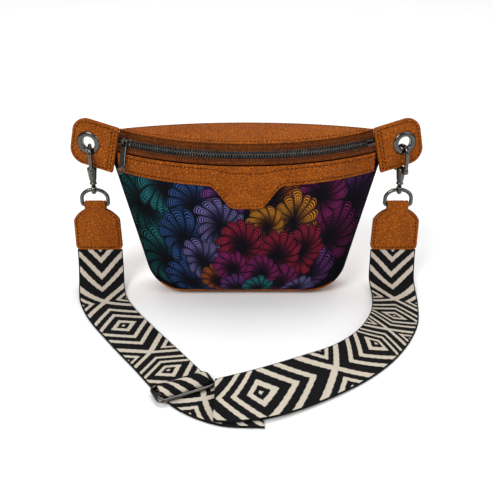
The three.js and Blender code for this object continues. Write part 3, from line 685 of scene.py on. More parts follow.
CORNER_Z = BASE_SEAM_Z + CORNER_RADIUS
CORNER_X = side_at(CORNER_Z) - CORNER_RADIUS / math.cos(SIDE_ANGLE)
CORNER_SHARE = 0.3
SIDE_START_Z = CORNER_Z - CORNER_RADIUS * math.sin(SIDE_ANGLE)
SLOPE = math.sqrt(0.5)
FOLD_RADIUS = ZIP_RADIUS + FACING * SLOPE
FOLD_Z = ZIP_Z - FACING * SLOPE
FOLD_HALF_WIDTH = side_at(FOLD_Z)
FOLD_END_Y = ZIP_AXIS_Y - math.sqrt(FOLD_RADIUS ** 2 - FOLD_HALF_WIDTH ** 2)
FOLD_BULGE = FOLD_END_Y - (ZIP_AXIS_Y - FOLD_RADIUS)
PANEL_TOP = 0.95
PRINT_MIDDLE = 150
BAND_TOP_Z = FOLD_Z - 0.6
BAND_HALF_WIDTH = 133
BAND_LOW_Z = 136
BAND_DROP = 23
DROP_HALF_WIDTH = 38
DROP_CURVE = 26


def lerp(a, b, t):
    return a + (b - a) * t


def outline_at(t, top_z):
    """Half width and height of the body's outline, from t = 0 at the base seam to 1 at the top."""
    if t < CORNER_SHARE:
        angle = lerp(math.pi / 2, SIDE_ANGLE, t / CORNER_SHARE)
        return CORNER_X + CORNER_RADIUS * math.cos(angle), CORNER_Z - CORNER_RADIUS * math.sin(angle)
    z = lerp(SIDE_START_Z, top_z, (t - CORNER_SHARE) / (1 - CORNER_SHARE))
    return side_at(z), z


def fullness(u):
    """1 in the middle of the width and 0 at the seams, along a circular arc."""
    inside = max(0.0, FOLD_RADIUS ** 2 - (FOLD_HALF_WIDTH * u) ** 2)
    return (math.sqrt(inside) - (ZIP_AXIS_Y - FOLD_END_Y)) / FOLD_BULGE


def rise_at(z):
    """How far up the front a height is, from 0 at the base seam to 1 at the fold."""
    return min(1.0, max(0.0, (z - BASE_SEAM_Z) / (FOLD_Z - BASE_SEAM_Z)))


def front_seam_y(z):
    return lerp(BASE_FRONT_Y, FOLD_END_Y, rise_at(z) ** 0.9)


def front_bulge(z):
    return FOLD_BULGE * math.sin(math.pi / 2 * rise_at(z)) ** 0.75


def back_seam_y(z):
    return lerp(BASE_BACK_Y, TOP_BACK_Y, z / BACK_TOP_Z)


def front_point(u, t):
    x, z = outline_at(t, FOLD_Z)
    return np.array([x * u, front_seam_y(z) - front_bulge(z) * fullness(u), z])


def back_point(u, t):
    x, z = outline_at(t, BACK_TOP_Z)
    bulge = BACK_BULGE * math.sin(math.pi / 2 * rise_at(z) ** 0.6)
    return np.array([x * u, back_seam_y(z) + bulge * fullness(u), z + CROWN * fullness(u) * t ** 4])


def zip_point(angle, s, n=0.0):
    """A point on the cone that the zip lies on: s up and inwards from the teeth, n outwards."""
    radius = ZIP_RADIUS - s * SLOPE + n * SLOPE
    turn = math.radians(angle)
    return np.array([radius * math.sin(turn), ZIP_AXIS_Y - radius * math.cos(turn),
                     ZIP_Z + s * SLOPE + n * SLOPE])


def band_point(u, v):
    """The front band, with a rounded drop in the middle of its lower edge."""
    x = BAND_HALF_WIDTH * (2 * u - 1)
    drop = BAND_DROP * float(smoothstep((DROP_HALF_WIDTH - abs(x)) / DROP_CURVE))
    z = lerp(BAND_LOW_Z - drop, BAND_TOP_Z, v)
    return np.array([x, front_seam_y(z) - front_bulge(z) * fullness(x / side_at(z)), z])


def gusset_point(u, v):
    """Round the sides and under the base; it swells outwards and is flat where the bag stands."""
    side = abs(2 * u - 1)
    straight = 0.36
    t = max(0.0, (side - straight) / (1 - straight))
    sign = -1 if u < 0.5 else 1
    on_base = min(1.0, side / straight)
    front_x, front_z = outline_at(t * 0.97, FOLD_Z)
    back_x, back_z = outline_at(t * 0.97, BACK_TOP_Z)
    seam = 2.0
    width = back_seam_y(back_z) - front_seam_y(front_z)
    swell = 0.159 * width * min(1.0, 1.35 * (1 - abs(2 * v - 1) ** 3))
    lean = lerp(math.pi / 2, SIDE_ANGLE, t / CORNER_SHARE) if t < CORNER_SHARE else SIDE_ANGLE
    sideways = 0.45 * sign * math.cos(lean) if t > 0 else 0.0
    return np.array([lerp(front_x, back_x, v) * on_base * sign + sideways * swell,
                     lerp(front_seam_y(front_z) + seam, back_seam_y(back_z) - seam, v),
                     lerp(front_z, back_z, v) - math.sin(lean) * swell])


def top_point(u, v):
    side = 2 * u - 1
    tip = 0.912
    full = fullness(side * tip)
    front = zip_point(side * ZIP_END, FACING + 0.4, 1.2)
    back = np.array([side_at(BACK_TOP_Z) * side * tip, TOP_BACK_Y + BACK_BULGE * full - 1.2,
                     BACK_TOP_Z + CROWN * full + 0.5])
    return lerp(front, back, v) + np.array([0, 0, 2.5 * math.sin(math.pi * v) * fullness(side)])


# ------------------------------------------------------------------ materials in use

MATERIALS = {
    "leather": leather_look("leather", (0.73, 0.182, 0.013), (0.56, 0.124, 0.007)),
    # the zip facings: a darker copy of the leather, painted shade for the recessed zip opening
    "shaded_leather": leather_look("facing_leather", (0.30, 0.070, 0.006), (0.19, 0.042, 0.004)),
    "edge": cut_edge_look(),
    "thread": thread_look("tan_thread", (0.055, 0.015, 0.004)),
    "dark_thread": thread_look("dark_thread", (0.03, 0.02, 0.015)),
    "print": print_look(),
    "lining": weave_look("lining_fabric", (0.075, 0.055, 0.04), (0.02, 0.014, 0.01)),
    "tape": weave_look("zip_tape", (0.035, 0.03, 0.03), (0.007, 0.006, 0.006), pitch=0.0008),
    "teeth": metal_look("zip_teeth", (0.085, 0.08, 0.075), 0.24),
    "webbing": webbing_look(),
    "binding": thread_look("dark_binding", (0.012, 0.008, 0.008)),
    "metal": metal_look("gunmetal", (0.088, 0.084, 0.077), 0.11),
}


# ------------------------------------------------------------------ body panels

def puckers(points, seed):
    """Small creases that run in from the seams of a panel, for the sewn body."""
    flow = np.sin(points[..., 0] / 5.3 + 1.7 * np.sin(points[..., 2] / 11.0 + seed))
    cross = np.sin(points[..., 2] / 4.7 + 2.1 * np.sin(points[..., 0] / 23.0 + seed))
    return flow * 0.5 + cross * 0.5


def panel_relief(seed, seams, depth=0.45):
    """Relief for a sewn panel: soft waves over it, and puckers close to its seams."""
    def relief(grid):
        up = run_over(grid, 0)
        over = run_over(grid, 1)
        sides = {"v": up, "V": up[-1:] - up, "u": over, "U": over[:, -1:] - over}
        distance = np.minimum.reduce([sides[seam] for seam in seams])
        near = np.exp(-(((distance - 6) / 7.0) ** 2)) * (distance > 0.8)
        waves = np.sin(grid[..., 0] / 31 + seed) * np.sin(grid[..., 2] / 27 + 2 * seed)
        return depth * near * puckers(grid, seed) + 0.5 * waves * smoothstep(distance / 25)
    return relief


def add_front_panel():
    def surface(u, v):
        return front_point(2 * u - 1, v * PANEL_TOP)
    add_sheet("front_panel_cloth", surface, (2 * PRINT_MIDDLE, 165), "print", "front_panel",
              lift=-LEATHER, spacing=2.6, edges="uUv", relief=panel_relief(0.6, "uUv"))


def add_front_band():
    add_sheet("front_band_leather", band_point, (300, 22), "leather", "front_band", lift=GAP,
              spacing=1.6, groove=SEAM, painted=True)
    across = np.linspace(0.012, 0.988, 181)
    lower = [(u, SEAM / (BAND_TOP_Z - band_point(u, 0)[2])) for u in across]
    upper = [(u, 0.84) for u in across]
    top = GAP + LEATHER
    rows = [surface_row(band_point, lower, top - 0.3), surface_row(band_point, upper, top - 0.05)]
    add_stitches("front_band_stitches", rows)


def seam_side(top_z, seam_y, shift, first, last):
    """A seam up the right side of the body, between two shares of its outline."""
    half = []
    for t in np.linspace(first, last, 61):
        x, z = outline_at(t, top_z)
        half.append((x + 0.3, seam_y(z) + shift, z))
    return half


def seam_under(half):
    """The same seam on both sides, joined under the base."""
    x, y, z = half[0]
    base = [(lerp(-x, x, k / 30), y, z - 0.3) for k in range(1, 30)]
    return mirrored(half)[::-1] + base + half


def mirrored(line):
    return [(-point[0], *point[1:]) for point in line]


def add_back_and_sides():
    def back(u, v):
        return back_point(1 - 2 * u, v * 0.985)
    add_sheet("back_panel_leather", back, (300, 178), "leather", "back_panel", lift=-LEATHER,
              spacing=3.4, relief=panel_relief(2.2, "uUv", 0.3))
    side = [(0.975, v) for v in np.linspace(0.96, 0.12, 61)]
    base = [(u, 0.05) for u in np.linspace(0.92, 0.08, 61)]
    over = [(u, 0.96) for u in np.linspace(0.03, 0.97, 91)]
    round_edge = side + base + [(1 - u, v) for u, v in reversed(side)]
    add_stitches("back_panel_stitches", [surface_row(back, line, 0.0) for line in (round_edge, over)])

    def gusset(u, v):
        return gusset_point(1 - u, v)
    add_sheet("gusset_leather", gusset, (480, 44), "leather", "gusset", lift=-LEATHER, spacing=3.2)


def add_seams():
    """Leather piping round the base and the back, and a dark binding up the front's sides."""
    base_share = 0.16
    top_share = 0.985
    front_base = seam_under(seam_side(FOLD_Z, front_seam_y, 0.9, 0, base_share))
    back_seam = seam_under(seam_side(BACK_TOP_Z, back_seam_y, -0.9, 0, top_share))
    piping = [tube_part(line, 1.25, sides=10) for line in (front_base, back_seam)]
    new_piece("seam_piping", *merge(piping), "leather", "bag")
    right = seam_side(FOLD_Z, front_seam_y, 0.9, base_share, top_share)
    binding = [tube_part(line, 1.2, sides=10) for line in (right, mirrored(right))]
    new_piece("side_binding", *merge(binding), "binding", "bag")


def add_top():
    def bead(grid):
        up = run_over(grid)
        return 0.6 * np.exp(-(((up - 1.3) / 1.1) ** 2)) - 0.3 * np.exp(-(((up - 3.6) / 0.8) ** 2))
    add_sheet("top_panel_leather", top_point, (290, 50), "leather", "top_panel", spacing=2.6,
              relief=bead, painted=True)
    front_row = []
    back_row = []
    for u in np.linspace(0.03, 0.97, 161):
        depth = max(8.0, np.linalg.norm(top_point(u, 1) - top_point(u, 0)))
        front_row.append((u, 3.6 / depth))
        back_row.append((u, 1 - 3.2 / depth))
    rows = [surface_row(top_point, front_row, LEATHER - 0.25), surface_row(top_point, back_row, LEATHER)]
    add_stitches("top_panel_stitches", rows)
    binding = [top_point(u, 1) - np.array([0, 0.4, 0.9]) for u in np.linspace(0, 1, 121)]
    new_piece("top_seam_binding", *tube_part(binding, 2.1), "leather", "bag")
    for side, name in SIDES:
        add_top_corner(side, name)


def add_top_corner(side, name):
    """Closes the corner between the zip's end, the gusset and the back."""
    zip_end = [zip_point(side * (ZIP_END + 0.1), s) for s in (2 - FACING, FACING - 1)]
    outside = [np.array([side * (FOLD_HALF_WIDTH + 1.2), FOLD_END_Y + 3.5, FOLD_Z - 2.5]),
               np.array([side * (side_at(BACK_TOP_Z) - 0.6), TOP_BACK_Y - 1.2, BACK_TOP_Z - 0.5])]

    def corner(u, v):
        share = v if side > 0 else 1 - v
        swell = 1.2 * math.sin(math.pi * v) * math.sin(math.pi * u)
        return lerp(lerp(*zip_end, u), lerp(*outside, u), share) + np.array([0, 0, swell])
    add_sheet(name + "_corner_leather", corner, (20, 12), "leather", name + "_top_corner",
              thickness=1.2, lift=-1.0, spacing=2)


def add_linings():
    for name, point, sign in (("front_lining", front_point, 1), ("back_lining", back_point, -1)):
        def surface(u, v, point=point, sign=sign):
            return point(sign * (2 * u - 1) * 0.94, lerp(0.12, 0.9, v))
        add_sheet(name + "_cloth", surface, (280, 130), "lining", name, thickness=0.8,
                  lift=-LEATHER - 1.6, spacing=5)


# ------------------------------------------------------------------ zip

TOOTH_PITCH = 2.7
TEETH_END = 34.0
TAPE_END = 36.2
FACING_LEATHER = 1.0


def add_zip():
    def strip(low, high, end):
        return lambda u, v: zip_point(lerp(-end, end, u), lerp(low, high, v))
    arc = 2 * ZIP_RADIUS * math.radians(ZIP_END)
    for name, low, high, seam in (("lower_zip_facing", 0.5 - FACING, -3.9, 0.66),
                                  ("upper_zip_facing", 3.9, FACING + 1.2, 0.3)):
        surface = strip(low, high, ZIP_END)
        # the facings take the darker copy of the leather, painted shade for the recessed opening
        add_sheet(name + "_leather", surface, (arc, high - low), "shaded_leather", name,
                  thickness=FACING_LEATHER, spacing=2.4, painted=True)
        row = surface_row(surface, [(u, seam) for u in np.linspace(0.01, 0.99, 181)], FACING_LEATHER)
        add_stitches(name + "_stitches", [row], thread="dark_thread", length=2.2, pause=0.9)
    for name, low, high in (("lower_zip_tape", -9.5, -1.2), ("upper_zip_tape", 1.2, 9.5)):
        add_sheet(name + "_cloth", strip(low, high, TAPE_END), (arc, high - low), "tape", name,
                  thickness=0.8, lift=-1.1, spacing=2.4)
    add_teeth("lower_zip_teeth", -1, 0.0)
    add_teeth("upper_zip_teeth", 1, 0.5)


def add_teeth(name, sign, shift):
    """One side's teeth: each clamps the tape with a leg and has a squared head over the middle."""
    parts = []
    step = math.degrees(TOOTH_PITCH / ZIP_RADIUS)
    leg = block_part((1.3, 2.6, 1.9), (0, sign * 2.3, 0.8))
    head = block_part((1.7, 1.5, 1.5), (0, sign * 0.55, 0.9))
    for k in range(int(2 * TEETH_END / step)):
        angle = -TEETH_END + (k + shift) * step
        place = shift_by(*zip_point(angle, 0)) @ rotate(angle, "Z") @ rotate(45, "X")
        parts += [moved(leg, place), moved(head, place)]
    row = new_piece(name + "_row", *merge(parts), "teeth", "bag", name, smooth=False)
    soften(row, 0.3)


def plate_part(outline, holes, thickness, rounding):
    """(vertices, faces) of a flat plate in the XY plane with rounded edges. outline and holes are
    closed lists of (x, y)."""
    curve = bpy.data.curves.new("plate", "CURVE")
    curve.dimensions = "2D"
    curve.fill_mode = "BOTH"
    curve.extrude = max(1e-4, thickness / 2 - rounding)
    curve.bevel_depth = rounding
    curve.bevel_resolution = 2
    curve.offset = -rounding
    for loop in [outline] + holes:
        spline = curve.splines.new("POLY")
        spline.points.add(len(loop) - 1)
        for point, (x, y) in zip(spline.points, loop):
            point.co = (x, y, 0, 1)
        spline.use_cyclic_u = True
    holder = bpy.data.objects.new("plate", curve)
    mesh = bpy.data.meshes.new_from_object(holder)
    vertices = [tuple(v.co) for v in mesh.vertices]
    faces = [tuple(p.vertices) for p in mesh.polygons]
    bpy.data.objects.remove(holder)
    bpy.data.curves.remove(curve)
    bpy.data.meshes.remove(mesh)
    return vertices, faces


def arc_points(centre, radius, start, end, count):
    angles = [math.radians(lerp(start, end, k / count)) for k in range(count + 1)]
    return [(centre[0] + radius * math.cos(a), centre[1] + radius * math.sin(a)) for a in angles]


PULL_PIVOT = 5.1
PULL_LEAN = 33
PULL_SWING = 14


def rectangle(left, right, low, high):
    return [(left, low), (right, low), (right, high), (left, high)]


def slider_place():
    """Where the slider's frame lies: drawn at the middle of the zip, with X along it."""
    return shift_by(0, ZIP_AXIS_Y, 0) @ rotate(ZIP_REST, "Z") @ shift_by(0, -ZIP_RADIUS, ZIP_Z)


def add_zip_slider():
    """Drawn with Y up the cone and Z away from it."""
    shield = arc_points((-2.6, 0), 4.2, 100, 260, 14) + [(6.4, -3.2), (7.2, -1.6), (7.2, 1.6), (6.4, 3.2)]
    top = moved(plate_part(shield, [], 1.3, 0.4), shift_by(0, 0, 2.75))
    bottom = moved(plate_part(rectangle(-5.5, 5.5, -1.7, 1.7), [], 1.3, 0.3), shift_by(0, 0, -2.4))
    post = block_part((3, 0.6, 5.4), (0, 0, 0.3))
    bridge = [(0, 3.5 * math.cos(a), 3.1 + 4.3 * math.sin(a)) for a in np.linspace(0.1, math.pi - 0.1, 17)]
    flanges = [block_part((12.4, 0.7, 1.4), (0.4, y, 1.9)) for y in (-3.5, 3.5)]
    parts = [top, bottom, post, tube_part(bridge, 1.0)] + flanges
    add_metal("zip_slider", parts, slider_place() @ rotate(45, "X"), soft=(0.15, 2, 40))


def add_pull():
    """Hangs from its crossbar, with a window below it and an eye in a round end."""
    end = -30
    outline = ([(3.4, 1.0), (-3.4, 1.0), (-3.1, -8.5), (-3.7, end + 4)]
               + arc_points((0, end), 4.6, 148, 392, 26) + [(3.7, end + 4), (3.1, -8.5)])
    window = [(-2.1, -0.8), (2.1, -0.8), (2.1, -6.3), (-2.1, -6.3)]
    eye = arc_points((0, end), 2.2, 0, 345, 23)
    around_eye = [(x, y, 0.7) for x, y in arc_points((0, end), 3.0, 0, 350, 28)]
    upright = rotate(90, "X")
    bar = moved(plate_part(outline, [window, eye], 1.4, 0.35), upright)
    rim = moved(tube_part(around_eye, 0.35, sides=8, closed=True), upright)
    crossbar = tube_part([(-3.2, 0, 0), (3.2, 0, 0)], 0.95)
    hang = shift_by(0, -PULL_PIVOT * SLOPE, PULL_PIVOT * SLOPE)
    place = slider_place() @ hang @ rotate(-PULL_LEAN, "X") @ rotate(-PULL_SWING, "Y")
    add_metal("zip_pull", [bar, rim, crossbar], place)


# ------------------------------------------------------------------ tabs and grommets

TAB_HALF_HEIGHT = 25.2
TAB_REACH = 30
TAB_END = 19.5
TAB_CORNER = 16
TAB_TURN = 14
TAB_TILT = 13
TAB_LAYER = 1.85
TAB_STITCH = 3.2
GROMMET_HOLE = 7
GROMMET_RIM = 12.5
WASHER_HOLE = GROMMET_HOLE + 1.4


def tab_frame(side):
    """Places a tab drawn in the XZ plane with its grommet at the origin and its outer end towards
    -X on the left and +X on the right."""
    return (shift_by(side * HANG_X, HANG_Y, GROMMET_Z) @ rotate(side * TAB_TURN, "Z")
            @ rotate(-side * TAB_TILT, "Y"))


def tab_radius(angle, inset=0.0):
    """Distance from the grommet to the tab's edge, which has two large corners at its outer end."""
    middle = (TAB_REACH - TAB_END) / 2
    half = (TAB_REACH + TAB_END) / 2

    def beyond(radius):
        x = radius * math.cos(angle)
        z = abs(radius * math.sin(angle))
        corner = TAB_CORNER if x < middle else 1.5 + inset
        across = abs(x - middle) - half + corner
        up = z - TAB_HALF_HEIGHT + corner
        return min(max(across, up), 0) + math.hypot(max(across, 0), max(up, 0)) - corner + inset

    low, high = 0.0, 2 * TAB_REACH
    for _ in range(24):
        radius = (low + high) / 2
        if beyond(radius) > 0:
            high = radius
        else:
            low = radius
    return low


def tab_layer_part(outwards, hole):
    """A leather layer with rounded corners round its hole, from y = 0 to outwards * TAB_LAYER."""
    angles = np.linspace(0, 2 * math.pi, 200, endpoint=False)
    rings = []
    for inset in (0.0, 0.1, 0.35, 0.8, 1.5, 2.4, TAB_STITCH, 4.0, 5.0, 7.0):
        height = TAB_LAYER - 0.9 * (1 - min(1.0, inset / 0.9)) ** 2
        height -= 0.4 * math.exp(-(((inset - TAB_STITCH) / 0.8) ** 2))
        rings.append([(tab_radius(a, inset), height) for a in angles])
    for share in (0.3, 0.6, 0.85, 1.0):
        height = TAB_LAYER + 0.25 * math.sin(math.pi * share)
        rings.append([(lerp(tab_radius(a, 7.0), hole, share), height) for a in angles])
    rings += [[(radius, 0.0) for radius, _ in ring] for ring in (rings[-1], rings[0])]
    vertices = []
    for ring in rings:
        for a, (radius, height) in zip(angles, ring):
            vertices.append((radius * math.cos(a), outwards * height, radius * math.sin(a)))
    faces = ring_faces(len(rings), len(angles), closed=True)
    return vertices, faces if outwards < 0 else [face[::-1] for face in faces]


def add_tab(side, name):
    """Two leather layers, sewn along their edge and again beside the bag's body."""
    place = tab_frame(side)
    flip = rotate(180, "Z") if side > 0 else Matrix.Identity(4)
    drawn = place @ flip
    rows = []
    for layer, towards in (("front", -1), ("back", 1)):
        outwards = -side * towards
        part = moved(tab_layer_part(outwards, WASHER_HOLE), place @ shift_by(0, towards * GAP / 2, 0) @ flip)
        node = f"{name}_tab_{layer}"
        new_piece(node + "_leather", *part, "leather", "bag", node)
        normal = tuple(drawn.to_3x3() @ Vector((0, outwards, 0)))
        level = outwards * (TAB_LAYER + GAP / 2)
        sunk = level - 0.28 * outwards
        edge = [(tab_radius(a, TAB_STITCH) * math.cos(a), sunk, tab_radius(a, TAB_STITCH) * math.sin(a))
                for a in np.linspace(-math.pi, math.pi, 241)]
        second = [(TAB_REACH - 2 * TAB_STITCH, level, z) for z in np.linspace(-21, 21, 40)]
        for line in (edge, second):
            rows.append(([tuple(drawn @ Vector(p)) for p in line], [normal] * len(line)))
    add_stitches(name + "_tab_stitches", rows)


def add_grommet(side, name):
    """A grommet rolled over the front of the tab, and a washer behind it."""
    place = tab_frame(side) @ rotate(90, "X")
    level = TAB_LAYER + GAP
    neck = GROMMET_HOLE + 1.0
    rolled = [(neck, -level), (neck, level - 0.1), (GROMMET_RIM - 0.4, level)]
    rolled += [(GROMMET_RIM - 0.2 + 0.3 * math.sin(a), level + 0.35 - 0.35 * math.cos(a))
               for a in np.linspace(0.3, math.pi / 2, 4)]
    rolled += [(GROMMET_RIM - 1.6, level + 1.05), (GROMMET_RIM - 3.0, level + 1.35)]
    rolled += [(GROMMET_HOLE + 1.3 - 1.3 * math.sin(a), level + 0.15 + 1.25 * math.cos(a))
               for a in np.linspace(0, math.pi / 2, 7)]
    rolled += [(GROMMET_HOLE, -level)]
    add_metal(name + "_grommet", [lathe_part(rolled, 64)], place, "bag")
    outer = GROMMET_RIM - 0.6
    ring = [(WASHER_HOLE, -level), (WASHER_HOLE, -level - 0.75), (outer - 0.4, -level - 0.75),
            (outer, -level - 0.4), (outer, -level)]
    add_metal(name + "_washer", [lathe_part(ring, 64)], place, "bag", name + "_grommet_washer",
              soft=(0.15, 2, 35), smooth=False)


# ------------------------------------------------------------------ hooks and rings

HOOK_WIRE = 2.2
HOOK_HALF_SPAN = 8
ARCH_Z = GROMMET_Z - GROMMET_HOLE + 1 + HOOK_WIRE
ARCH_CENTRE = ARCH_Z - HOOK_HALF_SPAN
NOSE_Z = ARCH_CENTRE - 1.2
GATE_PIVOT_Z = 136
BARREL_TOP = 138.5
BARREL_BOTTOM = 119.6
EYE_Z = 113.4
RING_WIRE = 2.05
RING_HALF_WIDTH = 14
RING_HEIGHT = 17.6
RING_BAR_Z = EYE_Z - RING_HEIGHT
HOOK_TURN = {"left": 8, "right": 26}


def add_hook(side, name):
    """A wire hook on a turned barrel, with cheeks that hold the gate's pin."""
    place = shift_by(side * HANG_X, HANG_Y, 0) @ rotate(HOOK_TURN[name], "Z")
    wire = [(0, -HOOK_HALF_SPAN, z) for z in np.linspace(GATE_PIVOT_Z - 1, ARCH_CENTRE, 10)]
    wire += [(0, -HOOK_HALF_SPAN * math.cos(a), ARCH_CENTRE + HOOK_HALF_SPAN * math.sin(a))
             for a in np.linspace(0.1, math.pi, 26)]
    wire += [(0, HOOK_HALF_SPAN, NOSE_Z + 0.3), (0, HOOK_HALF_SPAN, NOSE_Z)]
    loop = tube_part(wire, HOOK_WIRE, sides=20, scale=[1.0] * (len(wire) - 1) + [0.82])
    low = [(0, 0), (3.3, 0), (3.8, 0.4), (3.9, 1.2), (3.6, 1.9), (3.1, 2.3), (3.25, 2.9), (4.1, 7)]
    high = [(4.9, 4.5), (5.3, 2.2), (5.2, 1.0), (4.6, 0.2), (3.8, 0), (0, 0)]
    barrel = lathe_part([(radius, BARREL_BOTTOM + up) for radius, up in low]
                        + [(radius, BARREL_TOP - down) for radius, down in high], 48)
    yoke = block_part((5.4, 2 * HOOK_HALF_SPAN - 2.6, 5.0), (0, -1.6, GATE_PIVOT_Z))
    cheeks = [block_part((1.1, 6.4, 5.0), (x, HOOK_HALF_SPAN - 1.2, GATE_PIVOT_Z)) for x in (-2.2, 2.2)]
    foot = lathe_part([(0, -2.6), (2.0, -2.6), (2.75, -1.8), (2.9, 0), (2.6, 1.8), (2.2, 3.4), (0, 3.4)], 32)
    foot = moved(foot, shift_by(0, -HOOK_HALF_SPAN, GATE_PIVOT_Z))
    add_metal(name + "_hook", [loop, barrel, yoke, foot, *cheeks], place, soft=(0.5, 3, 50))
    add_gate(name, place)


def add_gate(name, place):
    """The spring gate with its knuckle and thumb grip, and the pin it turns on."""
    top = NOSE_Z - GAP
    pivot = shift_by(0, HOOK_HALF_SPAN, GATE_PIVOT_Z)
    arm = block_part((2.3, 3.1, top - GATE_PIVOT_Z), (0, HOOK_HALF_SPAN + 0.1, (top + GATE_PIVOT_Z) / 2))
    knuckle = moved(tube_part([(-1.15, 0, 0), (1.15, 0, 0)], 1.85, sides=24), pivot)
    grip = lathe_part([(0, -0.8), (1.5, -0.8), (1.8, -0.3), (1.8, 0.3), (1.5, 0.8), (0, 0.8)], 24)
    grip = moved(grip, pivot @ shift_by(0, 1.3, 9) @ rotate(90, "Y"))
    add_metal(name + "_gate", [arm, knuckle, grip], place, soft=(0.4, 3, 50))
    ends = [(x, 0, 0) for x in (-2.75, -2.6, 2.6, 2.75)]
    pin = tube_part(ends, 0.8, sides=20, scale=[0.7, 1, 1, 0.7])
    add_metal(name + "_gate_pin", [pin], place @ pivot, name + "_hook")


def add_swivel(side, name):
    """The eye that the ring hangs in, on a stem that turns in the barrel."""
    half = [(2.5, 1.6), (3.0, 2.2), (3.8, 2.3), (4.7, 1.7), (5.0, 0.8)]
    profile = [(radius, -z) for radius, z in half] + half[::-1]
    eye = moved(lathe_part(profile, 48), rotate(90, "Y"))
    stem = lathe_part([(0, 3.6), (2.1, 3.6), (2.1, 12.6), (1.7, 13), (0, 13)], 32)
    place = shift_by(side * HANG_X, HANG_Y, EYE_Z)
    add_metal(name + "_swivel", [eye, stem], place, node=name + "_swivel_eye")


def add_ring(side, name):
    """A straight bar below, short sides and a half-elliptic top."""
    corner = 2.4
    side_top = 7
    flat = RING_HALF_WIDTH - corner
    loop = [(x, 0) for x in np.linspace(-flat, flat, 12)]
    loop += arc_points((flat, corner), corner, -80, 0, 8)
    loop += [(RING_HALF_WIDTH * math.cos(a), side_top + (RING_HEIGHT - side_top) * math.sin(a))
             for a in np.linspace(0.02, math.pi - 0.02, 48)]
    loop += arc_points((-flat, corner), corner, 180, 260, 8)
    wire = tube_part([(x, 0, z) for x, z in loop], RING_WIRE, sides=20, closed=True)
    add_metal(name + "_d_ring", [wire], shift_by(side * HANG_X, HANG_Y, RING_BAR_Z), name + "_ring")


# ------------------------------------------------------------------ strap

STRAP_BOTTOM = 42
NECK = 11.4
SHOULDER = 25.0
ON_FLOOR = 1.4
WEB = 1.8
HALF_WEB = 25
SHOULDER_Z = 78
PINCH_Z = 84
NECK_Z = 89.5
STRAP_END_INSIDE = 0.95
STRAP_END_LEATHER = 1.55


def strap_end_half_width(z):
    """Rounded bottom corners, nearly straight sides, then round shoulders up to the neck."""
    rounding = 5
    straight_from = STRAP_BOTTOM + rounding
    wide = SHOULDER + 0.6
    if z < straight_from:
        return wide - rounding + math.sqrt(max(0.0, rounding ** 2 - (straight_from - z) ** 2))
    if z < SHOULDER_Z:
        return lerp(wide, SHOULDER, (z - straight_from) / (SHOULDER_Z - straight_from))
    climb = min(1.0, (z - SHOULDER_Z) / (NECK_Z - SHOULDER_Z))
    return NECK + (SHOULDER - NECK) * (0.55 * math.sqrt(1 - climb ** 2) + 0.45 * (1 - climb))


def strap_end_path():
    """(y, z) up the front, round the ring's bar and down the back, as the leather's inner face."""
    round_bar = 2.95
    front = []
    low = np.linspace(STRAP_BOTTOM, STRAP_BOTTOM + 5, 9)
    for z in np.concatenate([low, np.linspace(49, RING_BAR_Z, 34)]):
        pulled = float(smoothstep((z - PINCH_Z) / (RING_BAR_Z - PINCH_Z)))
        front.append((-lerp(STRAP_END_INSIDE, round_bar, pulled), z))
    over = [(-round_bar * math.cos(a), RING_BAR_Z + round_bar * math.sin(a))
            for a in np.linspace(0.15, math.pi - 0.15, 15)]
    return np.array(front + over + mirrored(front)[::-1])


def add_strap_end(side, name):
    path = strap_end_path()
    run = run_over(path)
    total = run[-1]

    def surface(u, v):
        y, z = (np.interp(v * total, run, path[:, axis]) for axis in (0, 1))
        half = strap_end_half_width(min(z, RING_BAR_Z))
        return np.array([side * HANG_X + half * (2 * u - 1), HANG_Y + y, z])

    us = stops(2 * HALF_WEB, EDGE_STEPS, 2.4)
    grid = grid_of(surface, us, run / total)
    width = np.linalg.norm(grid[:, -1] - grid[:, 0], axis=1)[:, None]
    over = us[None, :] * width
    low = grid[..., 2] - STRAP_BOTTOM
    edge = np.minimum(np.minimum(over, width - over), np.where(np.abs(grid[..., 1] - HANG_Y) < 3, low, 99))
    thickness = STRAP_END_LEATHER - 0.9 * (1 - np.clip(edge / 0.9, 0, 1)) ** 2
    thickness -= 0.35 * np.exp(-(((edge - TAB_STITCH) / 0.8) ** 2))
    vertices, faces, rim = shell(grid, normals_of(grid), thickness, np.zeros(grid.shape[:2]))
    new_piece(name + "_strap_end_leather", vertices, faces, "leather", "strap", name + "_strap_end",
              cut_from=rim)
    add_strap_end_stitches(side, name)


def add_strap_end_stitches(side, name):
    """One line inside the leather's edge and one across its neck, on both faces."""
    corner = 3
    half = SHOULDER - TAB_STITCH
    bottom = STRAP_BOTTOM + TAB_STITCH
    across = [(x, bottom) for x in np.linspace(-half + corner, half - corner, 30)]
    right = [(strap_end_half_width(z) - TAB_STITCH, z) for z in np.linspace(bottom + corner, PINCH_Z, 40)]
    shoulder = right[-1][0]
    right += [(lerp(shoulder, NECK - 1, k / 6), lerp(PINCH_Z, NECK_Z + 0.5, k / 6)) for k in range(1, 6)]
    outline = mirrored(right)[::-1] + arc_points((-half + corner, bottom + corner), corner, 185, 265, 5)
    outline += across + arc_points((half - corner, bottom + corner), corner, 275, 355, 5) + right
    neck = [(x, NECK_Z) for x in np.linspace(-NECK + 1.5, NECK - 1.5, 12)]
    rows = []
    for towards in (-1, 1):
        level = HANG_Y + towards * (STRAP_END_INSIDE + STRAP_END_LEATHER - 0.3)
        for line, lift in ((outline, 0.0), (neck, 0.75)):
            points = [(side * HANG_X + x, level + towards * lift, z) for x, z in line]
            rows.append((points, [(0, towards, 0)] * len(points)))
    add_stitches(name + "_strap_end_stitches", rows, "strap")


